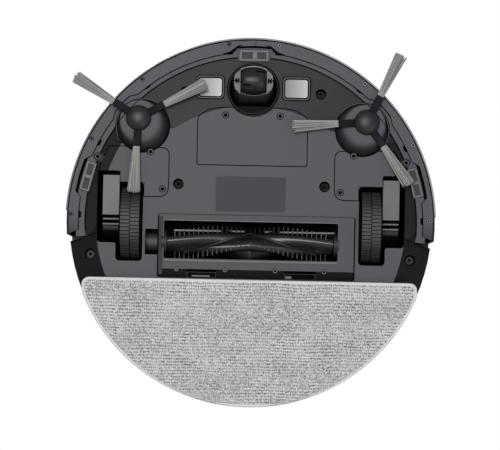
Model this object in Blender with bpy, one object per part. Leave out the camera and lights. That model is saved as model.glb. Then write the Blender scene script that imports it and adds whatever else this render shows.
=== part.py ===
"""A robot vacuum and mop, standing on its wheels with +Z up, as separate parts.

The front, with the bumper and the caster, faces -Y. The mop and the drawer are at the rear, +Y.
Sizes are in millimetres, and meshes are scaled to metres where they are made.
"""
import math

import bmesh
import bpy

MM = 0.001
GAP = 0.35              # clearance between neighbouring parts
SEAM = 0.45             # half the seam round a screwed cover

# Body heights
PLATEAU_Z = 10.0        # flat underside
FLOOR = 3.0             # thickness of the bottom housing's floor and walls
FRONT_RIM_Z = 15.0      # underside at the rim of the front half
REAR_RIM_Z = 23.0       # underside at the rim of the rear half
SPLIT_Z = 38.0          # where the bottom and top housings meet
DECK_Z = 76.0           # top deck
FLANGE_Z = 70.4         # underside of the deck's overhang

# Body radii, about the vertical axis through the origin
BODY_R = 175.0
FRONT_R = 156.3         # bottom housing behind the bumper
REAR_R = 172.0          # bottom housing at the rear
SHOULDER = 96.2         # angle from the front at which the body widens

# Mop
MOP_FRONT_Y = 54.3
MOP_CENTRE = (0.0, 4.0)
MOP_R = 170.0
MOP_HALF_WIDTH = 157.5
MOP_RECESS_Z = 16.0
PAD_TOP_Z = 5.5
PLATE_TOP_Z = 15.5

# Drive wheels
WHEEL_R = 34.0
WHEEL_Y = 2.0
WHEEL_X0, WHEEL_X1 = 104.5, 123.0
ARM_PIVOT = (-38.0, 30.0)       # Y and Z
BARREL = (8.0, 26.0)            # Y and Z
BARREL_R = 11.0

# Caster
CASTER_CENTRE = (0.0, -126.0)
CUP_R = 24.8
CASTER_WHEEL = (-134.0, 13.2)   # Y and Z
CASTER_WHEEL_R = 13.2

# Side brushes
BRUSH_X, BRUSH_Y = 108.0, -96.5
BRUSH_HUB_R = 12.5
CRATER = (103.3, -89.0)
CRATER_R = 25.5
CRATER_Z = 14.6
CRATER_WALL = 2.5
RIGHT_ARMS = (64.5, 184.5, 304.5)
LEFT_ARMS = (28.0, 148.0, 268.0)

# Main brush
ROLLER_Y, ROLLER_Z, ROLLER_R = 20.3, 19.0, 16.4
GUARD = (-87.0, 98.0, -6.0, 53.3)       # X0, X1, Y0, Y1
MOUTH = (-81.5, 82.5, 0.0, 35.6)
GUARD_Z0, GUARD_Z1 = 8.8, 12.0
GUARD_BEVEL_Y = 45.4
BEARING_R = 11.7
BEARING = (-98.9, -87.6)                # X0 and X1

# Sensor ring, seen below the bumper's lip
RING_R = 165.4
RING_Z0, RING_Z1 = 14.1, 18.0
LIP_Z0, LIP_Z1 = 11.8, 13.6

# Drawer
BAY_HALF = 107.0
BAY_FRONT_Y = 57.0
DRAWER_Z0, DRAWER_Z1 = 21.0, 66.0
PANEL_R = 173.5
PLUG_Z, PLUG_R = 34.0, 8.0
RELEASE_Z = 56.0

# Turret
TURRET = (0.0, 55.0)
TURRET_R = 42.0
TURRET_TOP_Z = 94.0
BUTTON_X, BUTTON_Y, BUTTON_R = 14.0, -118.0, 5.0

CONTACT = (40.7, -127.2)
LABEL = (-33.4, 32.2, -42.6, -10.0)
POSTS = ((69.0, -34.7, 12.0), (64.0, -122.5, 15.0), (150.8, 33.0, 17.6))     # X, Y, lowest Z
POST_R = 5.2

BUMPER_END = 95.0       # angle from the front at which the bumper ends

# Screw recesses: places, radius and depth
BATTERY_SCREWS = ((25.8, -100.8),)
COVER_SCREWS = ((96.0, -64.6), (84.0, -29.6))
RIM_SCREW = (146.0, -59.4)
GUARD_SCREWS = ((-69.0, 45.7), (-23.4, 45.7), (24.0, 45.7), (70.0, 45.7))
BUMPER_SCREW_TURNS = (8.1, 38.3, 63.4, 88.5)
COVER_SCREW_R, GUARD_SCREW_R, BUMPER_SCREW_R = 3.3, 2.6, 2.0
RIM_SCREW_R, RIM_SCREW_Z = 3.8, 13.75
RIM_NECK_Z = 15.0
BUMPER_SCREW_REACH = 170.0
SCREW_DEPTH = 1.9

# Colour, roughness and metallic value of each material
PAINTS = {
    "housing": ((0.10, 0.10, 0.11), 0.55, 0.0),
    "dark": ((0.02, 0.02, 0.022), 0.5, 0.0),
    "grey": ((0.22, 0.22, 0.23), 0.5, 0.0),
    "light": ((0.45, 0.45, 0.46), 0.45, 0.0),
    "gloss": ((0.03, 0.03, 0.032), 0.15, 0.0),
    "metal": ((0.75, 0.75, 0.74), 0.3, 1.0),
    "rubber": ((0.03, 0.03, 0.03), 0.8, 0.0),
    "bristle": ((0.25, 0.25, 0.26), 0.7, 0.0),
    "fabric": ((0.72, 0.72, 0.73), 0.95, 0.0),
    "clear": ((0.10, 0.11, 0.12), 0.2, 0.0),
    "board": ((0.02, 0.16, 0.07), 0.5, 0.0),
    "battery": ((0.06, 0.08, 0.16), 0.5, 0.0),
}


# Outlines and solids

def polar(radius, degrees, centre=(0.0, 0.0)):
    """The point at an angle measured from the front, -Y, towards +X."""
    angle = math.radians(degrees)
    return centre[0] + radius * math.sin(angle), centre[1] - radius * math.cos(angle)


def arc(radius, start, end, steps, centre=(0.0, 0.0)):
    return [polar(radius, start + (end - start) * i / steps, centre) for i in range(steps + 1)]


def circle(radius, steps, centre=(0.0, 0.0)):
    return arc(radius, 0.0, 360.0, steps, centre)[:-1]


def rounded(x0, x1, y0, y1, radius, steps=3):
    """A rectangle's outline with round corners."""
    corners = ((x1 - radius, y0 + radius), (x1 - radius, y1 - radius),
               (x0 + radius, y1 - radius), (x0 + radius, y0 + radius))
    return [point for i, centre in enumerate(corners)
            for point in arc(radius, 90.0 * i, 90.0 * i + 90.0, steps, centre)]


def filleted(corners, steps=4):
    """An outline whose corners, given as x, y and how far to cut each back, are rounded."""
    result = []
    count = len(corners)
    for i, (x, y, reach) in enumerate(corners):
        if not reach:
            result.append((x, y))
            continue
        ends = []
        for other_x, other_y, _ in (corners[i - 1], corners[(i + 1) % count]):
            share = reach / math.hypot(other_x - x, other_y - y)
            ends.append((x + (other_x - x) * share, y + (other_y - y) * share))
        for k in range(steps + 1):
            t = k / steps
            weights = ((1.0 - t) ** 2, 2.0 * t * (1.0 - t), t ** 2)
            points = (ends[0], (x, y), ends[1])
            result.append(tuple(sum(w * point[axis] for w, point in zip(weights, points))
                                for axis in (0, 1)))
    return result


def within(outline, radius, centre=(0.0, 0.0)):
    """An outline pulled in to stay inside a circle."""
    result = []
    for x, y in outline:
        reach = math.hypot(x - centre[0], y - centre[1])
        shrink = min(1.0, radius / reach)
        result.append((centre[0] + (x - centre[0]) * shrink, centre[1] + (y - centre[1]) * shrink))
    return result


def mirrored(outline):
    return [(-x, y) for x, y in reversed(outline)]


def add(name, bm):
    """Makes an object in metres from a mesh in millimetres."""
    bmesh.ops.recalc_face_normals(bm, faces=bm.faces)
    bmesh.ops.scale(bm, vec=(MM, MM, MM), verts=bm.verts)
    mesh = bpy.data.meshes.new(name)
    bm.to_mesh(mesh)
    bm.free()
    piece = bpy.data.objects.new(name, mesh)
    bpy.context.scene.collection.objects.link(piece)
    return piece


def skin(name, loops, closed=False):
    """A solid through loops of equally many points, capped at its ends unless it closes on itself."""
    bm = bmesh.new()
    rows = [[bm.verts.new(point) for point in loop] for loop in loops]
    following = rows[1:] + rows[:1] if closed else rows[1:]
    for low, high in zip(rows, following):
        for i in range(len(low)):
            j = (i + 1) % len(low)
            bm.faces.new((low[i], low[j], high[j], high[i]))
    if not closed:
        bm.faces.new(rows[0][::-1])
        bm.faces.new(rows[-1])
    return add(name, bm)


def along(axis, a, b, height):
    """Turns a point of an outline and its height into a point, for an outline drawn across axis."""
    return {"X": (height, a, b), "Y": (a, height, b), "Z": (a, b, height)}[axis]


def prism(name, outline, low, high, axis="Z"):
    return skin(name, [[along(axis, a, b, height) for a, b in outline] for height in (low, high)])


def box(name, x0, x1, y0, y1, z0, z1):
    return prism(name, [(x0, y0), (x1, y0), (x1, y1), (x0, y1)], z0, z1)


def turned(name, profile, steps, axis="Z", centre=(0.0, 0.0, 0.0), hollow=False):
    """A solid of revolution from pairs of radius and height; a hollow one closes on itself."""
    loops = []
    for radius, height in profile:
        ring = [along(axis, a, b, height) for a, b in circle(radius, steps)]
        loops.append([tuple(p + c for p, c in zip(point, centre)) for point in ring])
    return skin(name, loops, closed=hollow)


def cylinder(name, radius, low, high, centre, steps=24, axis="Z"):
    """A cylinder across axis: centre gives its two other coordinates."""
    return prism(name, circle(radius, steps, centre), low, high, axis)


def boolean(target, tool, operation):
    modifier = target.modifiers.new(operation, "BOOLEAN")
    modifier.operation = operation
    modifier.solver = "EXACT"
    modifier.object = tool
    depsgraph = bpy.context.evaluated_depsgraph_get()
    result = bpy.data.meshes.new_from_object(target.evaluated_get(depsgraph))
    target.modifiers.clear()
    target.data = result
    bpy.data.objects.remove(tool)


def cut(target, *tools):
    for tool in tools:
        boolean(target, tool, "DIFFERENCE")
    return target


def unite(target, *tools):
    for tool in tools:
        boolean(target, tool, "UNION")
    return target


def duplicate(source, name):
    piece = bpy.data.objects.new(name, source.data.copy())
    bpy.context.scene.collection.objects.link(piece)
    return piece


def paint(piece, kind):
    """Gives a part its own material, smooth shading and a mesh named after it."""
    colour, roughness, metallic = PAINTS[kind]
    material = bpy.data.materials.new(piece.name)
    material.use_nodes = True
    shader = material.node_tree.nodes["Principled BSDF"]
    shader.inputs["Base Color"].default_value = (*colour, 1.0)
    shader.inputs["Roughness"].default_value = roughness
    shader.inputs["Metallic"].default_value = metallic
    piece.data.materials.clear()
    piece.data.materials.append(material)
    piece.data.name = piece.name
    piece.data.shade_smooth()
    piece.data.set_sharp_from_angle(angle=math.radians(35.0))
    return piece


def pivot(piece, x, y, z):
    """Moves a part's origin to a point on its joint's axis, leaving its shape where it is."""
    offset = (x * MM, y * MM, z * MM)
    for vertex in piece.data.vertices:
        vertex.co.x -= offset[0]
        vertex.co.y -= offset[1]
        vertex.co.z -= offset[2]
    piece.location = offset


# Housing shapes

def plateau_radius(degrees):
    """Radius of the flat underside, which is narrower behind the front rim."""
    turn = min(degrees % 360.0, 360.0 - degrees % 360.0)

    def front(angle):
        forward = -21.0 * math.cos(math.radians(angle))
        return forward + math.sqrt(forward ** 2 + 131.0 ** 2 - 21.0 ** 2)
    if turn < 40.0:
        return front(turn)
    if turn < 60.0:
        return front(40.0) + (143.0 - front(40.0)) * (turn - 40.0) / 20.0
    return 143.0 if turn < 95.0 else 146.0


def body_loop(front, rear, height, shoulder=SHOULDER):
    """A loop round the body: front, rear and height give values for an angle."""
    front_angles = [-shoulder + 2.0 * shoulder * i / 48 for i in range(49)]
    rear_start = shoulder + 0.8
    rear_angles = [rear_start + (360.0 - 2.0 * rear_start) * i / 40 for i in range(41)]
    loop = []
    for angles, radius in ((front_angles, front), (rear_angles, rear)):
        loop += [(*polar(radius(angle), angle), height(angle)) for angle in angles]
    return loop


def constant(value):
    return lambda angle: value


def rim_height(offset):
    return lambda angle: (REAR_RIM_Z if SHOULDER + 0.4 < angle < 359.6 - SHOULDER else FRONT_RIM_Z) + offset


def bottom_shell():
    """The bottom housing's shell before its openings are cut."""
    outer = skin("bottom_housing", [
        body_loop(plateau_radius, plateau_radius, constant(PLATEAU_Z)),
        body_loop(constant(FRONT_R), constant(REAR_R), rim_height(0.0)),
        body_loop(constant(FRONT_R), constant(REAR_R), constant(SPLIT_Z))])

    def inner_plateau(angle):
        return plateau_radius(angle) - 1.0
    inner_shoulder = SHOULDER + 1.0
    inner = skin("cavity", [
        body_loop(inner_plateau, inner_plateau, constant(PLATEAU_Z + FLOOR), inner_shoulder),
        body_loop(constant(FRONT_R - FLOOR), constant(REAR_R - FLOOR), rim_height(FLOOR), inner_shoulder),
        body_loop(constant(FRONT_R - FLOOR), constant(REAR_R - FLOOR), constant(SPLIT_Z + 5.0),
                  inner_shoulder)])
    cut(outer, box("recess", -200.0, 200.0, MOP_FRONT_Y, 200.0, 0.0, MOP_RECESS_Z))
    cut(inner, box("recess", -200.0, 200.0, MOP_FRONT_Y - FLOOR, 200.0, 0.0, MOP_RECESS_Z + FLOOR))
    return cut(outer, inner)


def grown(outline, distance):
    """An outline moved outwards by a small distance, or inwards if it is negative."""
    result = []
    count = len(outline)
    for i, (x, y) in enumerate(outline):
        before, after = outline[i - 1], outline[(i + 1) % count]
        normals = []
        for start, end in ((before, (x, y)), ((x, y), after)):
            dx, dy = end[0] - start[0], end[1] - start[1]
            length = math.hypot(dx, dy)
            normals.append((dy / length, -dx / length))
        nx, ny = normals[0][0] + normals[1][0], normals[0][1] + normals[1][1]
        scale = 2.0 * distance / (nx * nx + ny * ny)
        result.append((x + nx * scale, y + ny * scale))
    return result


def battery_outline():
    right = filleted([(30.6, -108.0, 0.0), (41.0, -106.2, 4.0), (52.0, -99.5, 4.0), (52.0, -53.4, 2.4),
                      (0.0, -53.4, 0.0)], 3)[:-1]
    front = arc(CUP_R + 1.0, 133.0, 227.0, 12, CASTER_CENTRE)
    return [*right, *mirrored(right), *reversed(front)]


def wheel_cover_outline():
    """The plate round the inside and the front of the right wheel well."""
    rim = arc(152.3, 62.8, 71.5, 4)
    inner = filleted([(101.5, -22.2, 0.0), (78.2, -22.2, 10.0), (78.2, -68.6, 7.0), (*rim[0], 0.0)])
    return [*rim, (144.0, -45.8), (124.2, -45.8), (124.2, -35.3), (101.5, -35.3), *inner[:-1]]


def well_outline():
    """The opening round the right drive wheel and its swing arm."""
    return filleted([(101.8, -35.0, 0.0), (124.5, -35.0, 0.0), (124.5, -45.5, 0.0), (145.0, -45.5, 0.0),
                     (145.0, 21.8, 4.0), (127.0, 21.8, 2.5), (127.0, 38.8, 4.0), (101.8, 38.8, 4.0)], 3)


def recess(place, radius, low, depth=SCREW_DEPTH):
    """A tool that sinks a screw into a face that looks down at a height."""
    return cylinder("tool", radius, low - 5.0, low + depth, place, 12)


def rim_neck(name, side, clearance, low, high):
    """The bridge from a wheel cover to its screw at the rim, or the room for it."""
    reach = math.hypot(*RIM_SCREW)
    turn = math.degrees(math.atan2(RIM_SCREW[0], -RIM_SCREW[1]))
    half = 1.2 + math.degrees(clearance / reach)
    outline = arc(reach - 1.5, turn - half, turn + half, 2) + arc(150.5, turn + half, turn - half, 2)
    return prism(name, outline if side > 0 else mirrored(outline), low, high)


def openings_below():
    """Tools that cut the bottom housing's openings."""
    tools = [prism("tool", grown(battery_outline(), SEAM), 0.0, 16.0),
             cylinder("tool", CUP_R + GAP, 0.0, 30.0, CASTER_CENTRE, 48),
             prism("tool", rounded(GUARD[0] - SEAM, GUARD[1] + SEAM, GUARD[2] - SEAM, GUARD[3] + SEAM, 2.0),
                   0.0, 18.0),
             prism("tool", rounded(BEARING[0] - GAP, BEARING[1] + 2.0, ROLLER_Y - BEARING_R - GAP,
                                   ROLLER_Y + BEARING_R + GAP, 1.0), 0.0, 18.0),
             box("tool", -BAY_HALF, BAY_HALF, 100.0, 200.0, MOP_RECESS_Z + FLOOR, SPLIT_Z + 5.0)]
    for side in (1.0, -1.0):
        for outline in (grown(wheel_cover_outline(), SEAM), well_outline()):
            tools.append(prism("tool", outline if side > 0 else mirrored(outline), 0.0, 20.0))
        tools.append(cylinder("tool", RIM_SCREW_R + GAP, 0.0, 17.0, (side * RIM_SCREW[0], RIM_SCREW[1]), 20))
        tools.append(rim_neck("tool", side, GAP, 0.0, 17.0))
        tools.append(cylinder("tool", 4.0, 0.0, 20.0, (side * BRUSH_X, BRUSH_Y), 16))
        x, y = side * CONTACT[0], CONTACT[1]
        tools.append(prism("tool", rounded(x - 11.1, x + 11.1, y - 9.0, y + 9.0, 2.5), 0.0, 20.0))
        tools += [cylinder("tool", POST_R, 0.0, 30.0, (side * px, py), 16) for px, py, _ in POSTS]
    return tools


def make_bottom_housing():
    housing = bottom_shell()
    for side in (1.0, -1.0):
        centre = (side * CRATER[0], CRATER[1])
        unite(housing, cylinder("pad", CRATER_R + 0.5, PLATEAU_Z + 2.5, CRATER_Z + CRATER_WALL, centre, 48))
        cut(housing, cylinder("tool", CRATER_R, 0.0, CRATER_Z, centre, 40))
    inset_shell = duplicate(housing, "battery_cover")
    boolean(inset_shell, prism("tool", grown(battery_outline(), -SEAM), 0.0, 15.5), "INTERSECT")
    for x, y in BATTERY_SCREWS:
        cut(inset_shell, recess((x, y), COVER_SCREW_R, PLATEAU_Z), recess((-x, y), COVER_SCREW_R, PLATEAU_Z))
    paint(inset_shell, "housing")
    for name, side in (("right_wheel_cover", 1.0), ("left_wheel_cover", -1.0)):
        cover = duplicate(housing, name)
        outline = grown(wheel_cover_outline(), -SEAM)
        cover_top = CRATER_Z + CRATER_WALL + 0.3
        boolean(cover, prism("tool", outline if side > 0 else mirrored(outline), 0.0, cover_top), "INTERSECT")
        rim_place = (side * RIM_SCREW[0], RIM_SCREW[1])
        unite(cover, rim_neck("neck", side, 0.0, RIM_NECK_Z, RIM_SCREW_Z + 2.7),
              cylinder("boss", RIM_SCREW_R, RIM_SCREW_Z, RIM_SCREW_Z + 2.7, rim_place, 20))
        cut(cover, recess(rim_place, RIM_SCREW_R - 1.1, RIM_SCREW_Z),
            *(recess((side * x, y), COVER_SCREW_R, PLATEAU_Z) for x, y in COVER_SCREWS))
        paint(cover, "housing")
    for side in (1.0, -1.0):
        for px, py, low in POSTS:
            unite(housing, cylinder("post", POST_R + 1.8, low, 32.0, (side * px, py), 16))
    cut(housing, *openings_below())
    paint(housing, "housing")


def make_top_housing():
    outer = skin("top_housing", [
        body_loop(constant(FRONT_R), constant(REAR_R), constant(SPLIT_Z + GAP)),
        body_loop(constant(FRONT_R), constant(REAR_R + 1.0), constant(FLANGE_Z)),
        body_loop(constant(BODY_R - 1.0), constant(BODY_R - 1.0), constant(FLANGE_Z + 0.2)),
        body_loop(constant(BODY_R - 1.0), constant(BODY_R - 1.0), constant(DECK_Z - 1.5)),
        body_loop(constant(BODY_R - 2.8), constant(BODY_R - 2.8), constant(DECK_Z))])
    inner_shoulder = SHOULDER + 1.0
    inner = skin("cavity", [
        body_loop(constant(FRONT_R - FLOOR), constant(REAR_R - FLOOR), constant(height), inner_shoulder)
        for height in (SPLIT_Z - 5.0, DECK_Z - FLOOR)])
    cut(outer, inner, box("tool", -BAY_HALF, BAY_HALF, 100.0, 200.0, SPLIT_Z - 5.0, FLANGE_Z - 0.5))
    for x in (BUTTON_X, -BUTTON_X):
        cut(outer, cylinder("tool", BUTTON_R + GAP, 60.0, 80.0, (x, BUTTON_Y), 20))
    paint(outer, "housing")


def ring_inner(turn):
    """Inner radius of the sensor ring, which bows outwards round the side-brush craters."""
    crater_reach = math.hypot(*CRATER)
    crater_turn = math.degrees(math.atan2(CRATER[0], -CRATER[1]))
    clear = CRATER_R + 0.5 + GAP
    off = math.radians(abs(turn) - crater_turn)
    sideways = crater_reach * math.sin(off)
    if abs(sideways) >= clear:
        return FRONT_R + GAP
    return max(FRONT_R + GAP, crater_reach * math.cos(off) + math.sqrt(clear ** 2 - sideways ** 2))


def make_front_trim():
    """The light ring under the bumper's lip, the cliff sensors below it, and the charging contacts."""
    end = SHOULDER - 0.4
    turns = [-end + 2.0 * end * i / 96 for i in range(97)]
    inside = [polar(ring_inner(turn), turn) for turn in turns]
    outside = [polar(RING_R, turn) for turn in reversed(turns)]
    ring = prism("sensor_ring", outside[::-1] + inside[::-1], RING_Z0, RING_Z1)
    for side in (1.0, -1.0):
        cut(ring, cylinder("tool", RIM_SCREW_R + GAP, 0.0, 20.0, (side * RIM_SCREW[0], RIM_SCREW[1]), 20))
        for turn in BUMPER_SCREW_TURNS:
            slot = arc(163.4, side * turn - 1.3, side * turn + 1.3, 3)
            slot += arc(160.4, side * turn + 0.9, side * turn - 0.9, 3)
            cut(ring, prism("tool", slot, RING_Z0 - 1.0, RING_Z1 + 1.0))
    paint(ring, "light")
    ring_gap_z = RING_Z0 - GAP
    front = prism("front_cliff_sensor", rounded(-13.6, 13.6, -163.1, -152.9, 2.0), 11.4, ring_gap_z)
    paint(front, "gloss")
    for name, side in (("right_cliff_sensor", 1.0), ("left_cliff_sensor", -1.0)):
        outline = arc(164.2, 70.6, 80.2, 6) + arc(155.2, 80.2, 70.6, 6)
        piece = prism(name, outline if side > 0 else mirrored(outline), 11.4, ring_gap_z)
        paint(piece, "gloss")
    for name, side in (("right_charge_contact", 1.0), ("left_charge_contact", -1.0)):
        x, y = side * CONTACT[0], CONTACT[1]
        plate = prism(name, rounded(x - 10.7, x + 10.7, y - 8.6, y + 8.6, 2.2), 11.2, 17.0)
        paint(plate, "metal")


def bumper_lip(turn):
    """Inner radius of the bumper's lip, with notches at the cliff sensors."""
    stations = ((0.0, 167.3), (5.7, 167.3), (7.2, 164.6), (9.0, 161.6), (42.5, 161.8), (45.2, 166.3),
                (51.6, 166.3), (54.3, 163.0), (68.2, 163.0), (70.4, 168.3), (81.0, 168.3), (82.6, 163.1),
                (95.0, 163.1))
    for (low, a), (high, b) in zip(stations, stations[1:]):
        if turn <= high:
            return a + (b - a) * (turn - low) / (high - low)
    return stations[-1][1]


def make_bumper():
    half = [0.0, 5.7, 7.2, 9.0, 14.0, 19.0, 24.0, 29.0, 34.0, 38.5, 42.5, 45.2, 48.4, 51.6, 54.3, 59.0, 63.5,
            68.2, 70.4, 75.7, 81.0, 82.6, 87.2, 87.5, 91.0, BUMPER_END]
    loops = []
    for turn in [-angle for angle in reversed(half[1:])] + half:
        lip = bumper_lip(abs(turn))
        rim = BODY_R if abs(turn) < 87.4 else BODY_R - 1.0
        section = ((lip, LIP_Z0), (rim - 2.6, LIP_Z0), (rim - 2.3, LIP_Z0 + 0.8), (rim - 1.7, LIP_Z0 + 0.8),
                   (rim - 1.4, LIP_Z0 + 0.2), (rim - 0.4, LIP_Z0 + 0.6), (rim, LIP_Z0 + 1.6), (rim, 68.4),
                   (rim - 1.2, 69.8), (171.8, 69.8), (171.8, LIP_Z1), (lip, LIP_Z1))
        loop = []
        for radius, height in section:
            lean = 1.4 * (BODY_R - radius) / (BODY_R - lip) if abs(turn) == BUMPER_END else 0.0
            loop.append((*polar(radius, turn - math.copysign(lean, turn)), height))
        loops.append(loop)
    shell = skin("bumper_shell", loops)
    for turn in BUMPER_SCREW_TURNS:
        for side in (1.0, -1.0):
            cut(shell, recess(polar(BUMPER_SCREW_REACH, side * turn), BUMPER_SCREW_R, LIP_Z0, 1.2))
    window = arc(174.4, -28.0, 28.0, 16)
    backing = arc(172.2, 28.0, -28.0, 16)
    slot = prism("tool", arc(180.0, -28.2, 28.2, 12) + arc(168.0, 28.2, -28.2, 12), 41.0, 57.0)
    cut(shell, slot)
    paint(shell, "dark")
    paint(prism("bumper_window", window + backing, 41.35, 56.65), "clear")


def make_caster():
    x, y = CASTER_CENTRE
    cup = turned("caster_socket", [(CUP_R, 11.5), (CUP_R, 34.0), (4.6, 34.0), (4.6, 32.0), (22.9, 32.0),
                                   (22.9, 11.5)], 32, centre=(x, y, 0.0), hollow=True)
    paint(cup, "dark")
    oval = within(rounded(-18.5, 18.5, -148.2, -119.8, 12.0, 6), 22.2, CASTER_CENTRE)
    fork = prism("caster_fork", oval, 11.5, 26.0)
    unite(fork, cylinder("tool", 21.8, 24.5, 31.6, CASTER_CENTRE, 32), cylinder("tool", 4.2, 30.0, 38.0,
                                                                              CASTER_CENTRE, 16))
    wheel_y, wheel_z = CASTER_WHEEL
    cut(fork, box("tool", -12.4, 12.4, -149.5, -119.0, 5.0, 28.0),
        cylinder("tool", 1.9, -30.0, 30.0, CASTER_WHEEL, 12, "X"))
    pivot(fork, x, y, 30.0)
    paint(fork, "light")
    profile = [(1.9, -11.4), (11.2, -11.4), (12.5, -9.0), (CASTER_WHEEL_R, -4.0), (CASTER_WHEEL_R, 4.0),
               (12.5, 9.0), (11.2, 11.4), (1.9, 11.4)]
    wheel = turned("caster_wheel", profile, 28, "X", (0.0, wheel_y, wheel_z), hollow=True)
    pivot(wheel, 0.0, wheel_y, wheel_z)
    paint(wheel, "rubber")
    axle = cylinder("caster_axle", 1.55, -16.5, 16.5, CASTER_WHEEL, 12, "X")
    pivot(axle, 0.0, wheel_y, wheel_z)
    paint(axle, "metal")


def make_drive(side, name):
    """One wheel module: the swing arm, its cover, the hub and the tyre."""
    def across(x0, x1):
        return sorted((side * x0, side * x1))
    pivot_y, pivot_z = ARM_PIVOT
    arm_outline = [(-44.5, 20.0), (-8.0, 18.0), (14.0, 18.0), (14.0, 44.0), (-30.0, 44.0), (-44.5, 36.0)]
    arm = prism(f"{name}_wheel_arm", arm_outline, *across(125.6, 139.5), "X")
    unite(arm, cylinder("tool", BARREL_R, *across(124.2, 140.2), BARREL, 24, "X"))
    cut(arm, cylinder("tool", 4.6, *across(120.0, 134.0), (WHEEL_Y, WHEEL_R), 16, "X"))
    pivot(arm, side * 132.0, pivot_y, pivot_z)
    paint(arm, "dark")
    cover_outline = [(-42.0, 12.6), (-4.6, 12.6), (-4.6, 17.6), (-8.0, 17.6), (-42.0, 19.6)]
    cover = prism(f"{name}_arm_cover", cover_outline, *across(124.6, 140.0), "X")
    pivot(cover, side * 132.0, pivot_y, pivot_z)
    paint(cover, "grey")
    tyre_profile = [(27.0, 0.0), (33.0, 0.0), (WHEEL_R, 0.9), (WHEEL_R, 17.6), (33.0, 18.5), (27.0, 18.5)]
    wheel_centre = (side * WHEEL_X0, WHEEL_Y, WHEEL_R)
    tyre = turned(f"{name}_tyre", [(radius, side * height) for radius, height in tyre_profile], 40, "X",
                  wheel_centre, hollow=True)
    hub = turned(f"{name}_wheel_hub", [(radius, side * height) for radius, height in (
        (8.0, 3.0), (26.7, 3.0), (26.7, 16.0), (10.0, 16.0), (8.0, 19.5), (4.2, 19.5), (4.2, 28.5))],
                 24, "X", wheel_centre)
    for piece, kind in ((tyre, "rubber"), (hub, "grey")):
        pivot(piece, *wheel_centre)
        paint(piece, kind)


def brush_arm(centre, degrees, name):
    """A bristle arm: a rubber root sloping down, then a tuft that widens to its end."""
    angle = math.radians(degrees)
    along_x, along_y = math.cos(angle), -math.sin(angle)
    sections = ((13.2, 3.2, 6.6, 9.4), (27.4, 3.0, 3.2, 6.6), (40.0, 4.0, 1.8, 4.6), (71.5, 6.0, 1.4, 3.2))
    loops = []
    for radius, half, low, high in sections:
        x, y = centre[0] + radius * along_x, centre[1] + radius * along_y
        loops.append([(x - side * half * along_y, y + side * half * along_x, height)
                      for side, height in ((1, low), (-1, low), (-1, high), (1, high))])
    return skin(name, loops)


def make_side_brush(side, name, arms):
    centre = (side * BRUSH_X, BRUSH_Y)
    hub = turned(f"{name}_side_brush_hub", [(10.5, 4.2), (BRUSH_HUB_R, 5.6), (BRUSH_HUB_R, 12.2),
                                            (3.4, 12.2), (3.4, 18.0)], 28, centre=(*centre, 0.0))
    bristles = turned(f"{name}_side_brush_bristles", [(12.9, 6.2), (15.0, 6.2), (15.0, 9.8), (12.9, 9.8)],
                      28, centre=(*centre, 0.0), hollow=True)
    unite(bristles, *(brush_arm(centre, degrees, "arm") for degrees in arms))
    for piece, kind in ((hub, "gloss"), (bristles, "bristle")):
        pivot(piece, *centre, CRATER_Z)
        paint(piece, kind)
    x0, x1 = sorted((centre[0] + side * 4.5, centre[0] - side * 24.0))
    motor = prism(f"{name}_side_brush_motor", rounded(x0, x1, BRUSH_Y - 4.5, BRUSH_Y + 22.0, 4.0), 18.6, 44.0)
    paint(motor, "grey")


def make_main_brush():
    core = turned("main_brush_core", [(4.0, -85.8), (4.0, -81.0), (7.0, -80.5), (7.0, 80.0), (4.0, 80.5),
                                      (4.0, 83.2)], 20, "X", (0.0, ROLLER_Y, ROLLER_Z))
    sleeve = turned("main_brush_sleeve", [(7.35, -79.0), (ROLLER_R, -79.0), (ROLLER_R, 78.0),
                                          (7.35, 78.0)], 36, "X", (0.0, ROLLER_Y, ROLLER_Z), hollow=True)
    for piece, kind in ((core, "gloss"), (sleeve, "bristle")):
        pivot(piece, 0.0, ROLLER_Y, ROLLER_Z)
        paint(piece, kind)
    chamber = box("brush_chamber", -87.2, 86.4, -5.0, 50.0, PLATEAU_Z + FLOOR + GAP, 41.0)
    cut(chamber, box("tool", -85.2, 84.4, -3.0, 48.0, 0.0, 39.0),
        box("tool", -28.0, 28.0, 40.0, 60.0, 24.0, 37.0),
        cylinder("tool", 4.4, -90.0, -80.0, (ROLLER_Y, ROLLER_Z), 16, "X"))
    paint(chamber, "dark")
    bearing = arc(BEARING_R, -90.0, 90.0, 16, (ROLLER_Y, BEARING_R + 7.8))
    gearbox = prism("main_brush_gearbox", bearing + [(50.0, 30.0), (50.0, 54.0), (44.0, 60.0), (14.0, 60.0)],
                    *BEARING, "X")
    paint(gearbox, "grey")


def make_guard():
    guard = prism("brush_guard", rounded(*GUARD, 2.0), GUARD_Z0, GUARD_Z1)
    bevel_end = GUARD[3] + 1.0
    bevel = [(GUARD_BEVEL_Y, GUARD_Z0), (GUARD_BEVEL_Y, 0.0), (bevel_end, 0.0), (bevel_end, GUARD_Z0 + 2.3)]
    cut(guard, prism("tool", rounded(*MOUTH, 1.5), 0.0, 20.0), prism("tool", bevel, -120.0, 120.0, "X"),
        *(recess(place, GUARD_SCREW_R, GUARD_Z0) for place in GUARD_SCREWS))
    for name, x0, x1 in (("left_guard_latch", -59.0, -32.0), ("right_guard_latch", 33.0, 62.0)):
        cut(guard, box("tool", x0 - 0.4, x1 + 0.4, 48.0 - 2.4, 60.0, 0.0, 20.0))
        latch = box(name, x0, x1, 48.0, 53.2, GUARD_Z0 + 0.2, GUARD_Z1 - 0.3)
        pivot(latch, (x0 + x1) / 2.0, 50.0, GUARD_Z0)
        paint(latch, "dark")
    pivot(guard, 0.0, GUARD[2], GUARD_Z0)
    paint(guard, "housing")


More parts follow.
